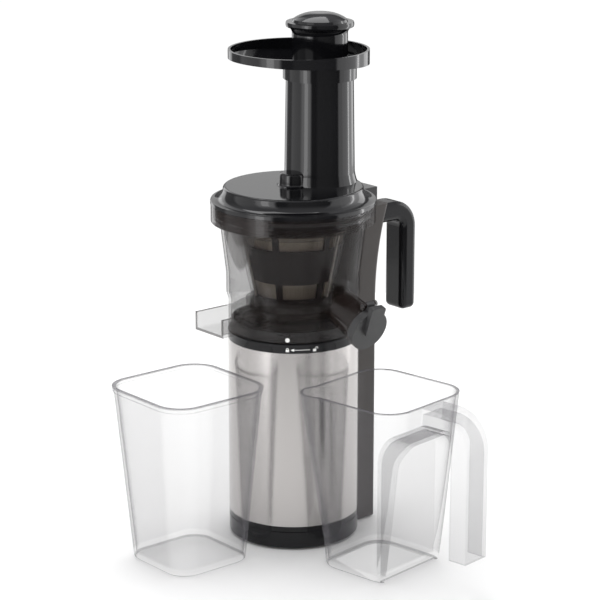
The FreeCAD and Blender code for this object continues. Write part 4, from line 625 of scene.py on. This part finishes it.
# ---------------------------------------------------------------- strainer, wiper and auger
# A black glass-filled frame carries stainless wire cloth; silicone blades on the wiper frame sweep it,
# and the auger turns inside it.
strainer_black = grained("strainer_black", (0.003, 0.003, 0.004), 0.3, 0.05, 500, 0.12)
strainer_black.node_tree.nodes["Principled BSDF"].inputs["Specular IOR Level"].default_value = 0.12
auger_grey = grained("auger_grey", (0.03, 0.03, 0.032), 0.38, 0.05, 600, 0.15)
pale_silicone = grained("pale_silicone", (0.33, 0.3, 0.27), 0.5, 0.06, 900, 0.2)
wire_steel = brushed("wire_steel", (0.2, 0.172, 0.14), 0.38, (300, 300, 900), 0.1)
finish_node("strainer_frame", strainer_black)
finish_node("strainer_mesh", wire_steel)
finish_node("auger", auger_grey)
finish_node("wiper_blades", pale_silicone)

CLOTH_BARS, CLOTH_BAR_RADIUS = 96, 0.00022
CLOTH_BANDS = [
    ("lower_bars", 0.0313, 0.0348, 0.2140, 0.2305),
    ("upper_bars", 0.0407, 0.0441, 0.2575, 0.2735),
]


def cloth_bars(name, low_radius, high_radius, low, high):
    """Upright wires round the outside of a band of the cloth, which widens as it rises."""
    net = Net(name, Bars=CLOTH_BARS, Bar_Radius=CLOTH_BAR_RADIUS, Low_Radius=low_radius,
              High_Radius=high_radius, Low=low, High=high)
    foot = net.vector(net.inputs["Low_Radius"], 0.0, net.inputs["Low"])
    head = net.vector(net.inputs["High_Radius"], 0.0, net.inputs["High"])
    line = net.add("GeometryNodeCurvePrimitiveLine", Start=foot, End=head)
    section = net.add("GeometryNodeCurvePrimitiveCircle", Resolution=6, Radius=net.inputs["Bar_Radius"])
    bar = net.add("GeometryNodeCurveToMesh", Curve=line.outputs[0], Profile_Curve=section.outputs[0],
                  Fill_Caps=True)
    places = net.add("GeometryNodePoints", Count=net.inputs["Bars"])
    index = net.add("GeometryNodeInputIndex").outputs[0]
    turn = net.math("DIVIDE", net.math("MULTIPLY", index, math.tau), net.inputs["Bars"])
    ring = net.add("GeometryNodeInstanceOnPoints", Points=places.outputs[0], Instance=bar.outputs[0],
                   Rotation=net.vector(z=turn))
    net.finish(ring.outputs[0], wire_steel)
    return net


for band in CLOTH_BANDS:
    cloth_bars(*band).make(band[0], "bowl", "strainer_mesh")

# ---------------------------------------------------------------- spout cap
# A dark grey cap with a thumb lever, moulded in one piece and pinned to the top of the spout's end.
cap_grey = grained("cap_grey_plastic", (0.035, 0.035, 0.036), 0.42, 0.05, 1600, 0.25)
finish_node("juice_cap", cap_grey)
finish_node("cap_pin", cap_grey)

# ---------------------------------------------------------------- lid, tray and pusher
# Deep glossy black ABS, polished tools, so broad soft lights lie on it as clean shapes.
lid_black = grained("lid_black_plastic", (0.005, 0.005, 0.006), 0.1, 0.015, 180, 0.02, 0.3)
for part in ("lid", "feed_tray", "pusher", "pusher_cap"):
    finish_node(part, lid_black)

# ---------------------------------------------------------------- column and handle
# The column's two shells are satin black-brown with a fine spark-eroded texture; the hooked handle is
# polished black and screwed on from inside.
column_satin = grained("column_satin_plastic", (0.036, 0.03, 0.027), 0.4, 0.05, 2200, 0.3)
for part in ("column_front", "column_back"):
    finish_node(part, column_satin)
finish_node("handle", gloss_black)

# ---------------------------------------------------------------- pulp container and juice jug
# Both are clear polystyrene, thin walled, tapered for moulding, with rounded corners.
JUG_LILAC, HANDLE_BAR = (0.13, 0.125, 0.14), 0.0249
jug_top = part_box("pulp_container")[1].z
bar_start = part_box("juice_jug")[1].x - HANDLE_BAR
# Changes to the clear plastic's cover: clearer floors, painted dark outlines at the rims and round the foot,
# and a little more cover on the handle.
JUG_COVER_AND_PAINTED_SHADE = [
    (-0.30, [("Z", 0.0075, 0.0055)]),                           # the floors, seen through at a slant
    (0.45, [("Z", jug_top - 0.0011, jug_top - 0.0005)]),        # the rims: a painted dark outline
    (0.40, [("Z", 0.0024, 0.0017), ("Z", 0.0003, 0.0008)]),     # a painted dark line round the foot
    (0.05, [("X", bar_start, bar_start + 0.0010)]),             # the jug's handle
]
crystal_plastic = clear_plastic("crystal_plastic", JUG_LILAC, 0.04, 0.03, 0.055, 0.95, 3.2, JUG_COVER_AND_PAINTED_SHADE)
finish_node("pulp_container", crystal_plastic)
finish_node("juice_jug", crystal_plastic)
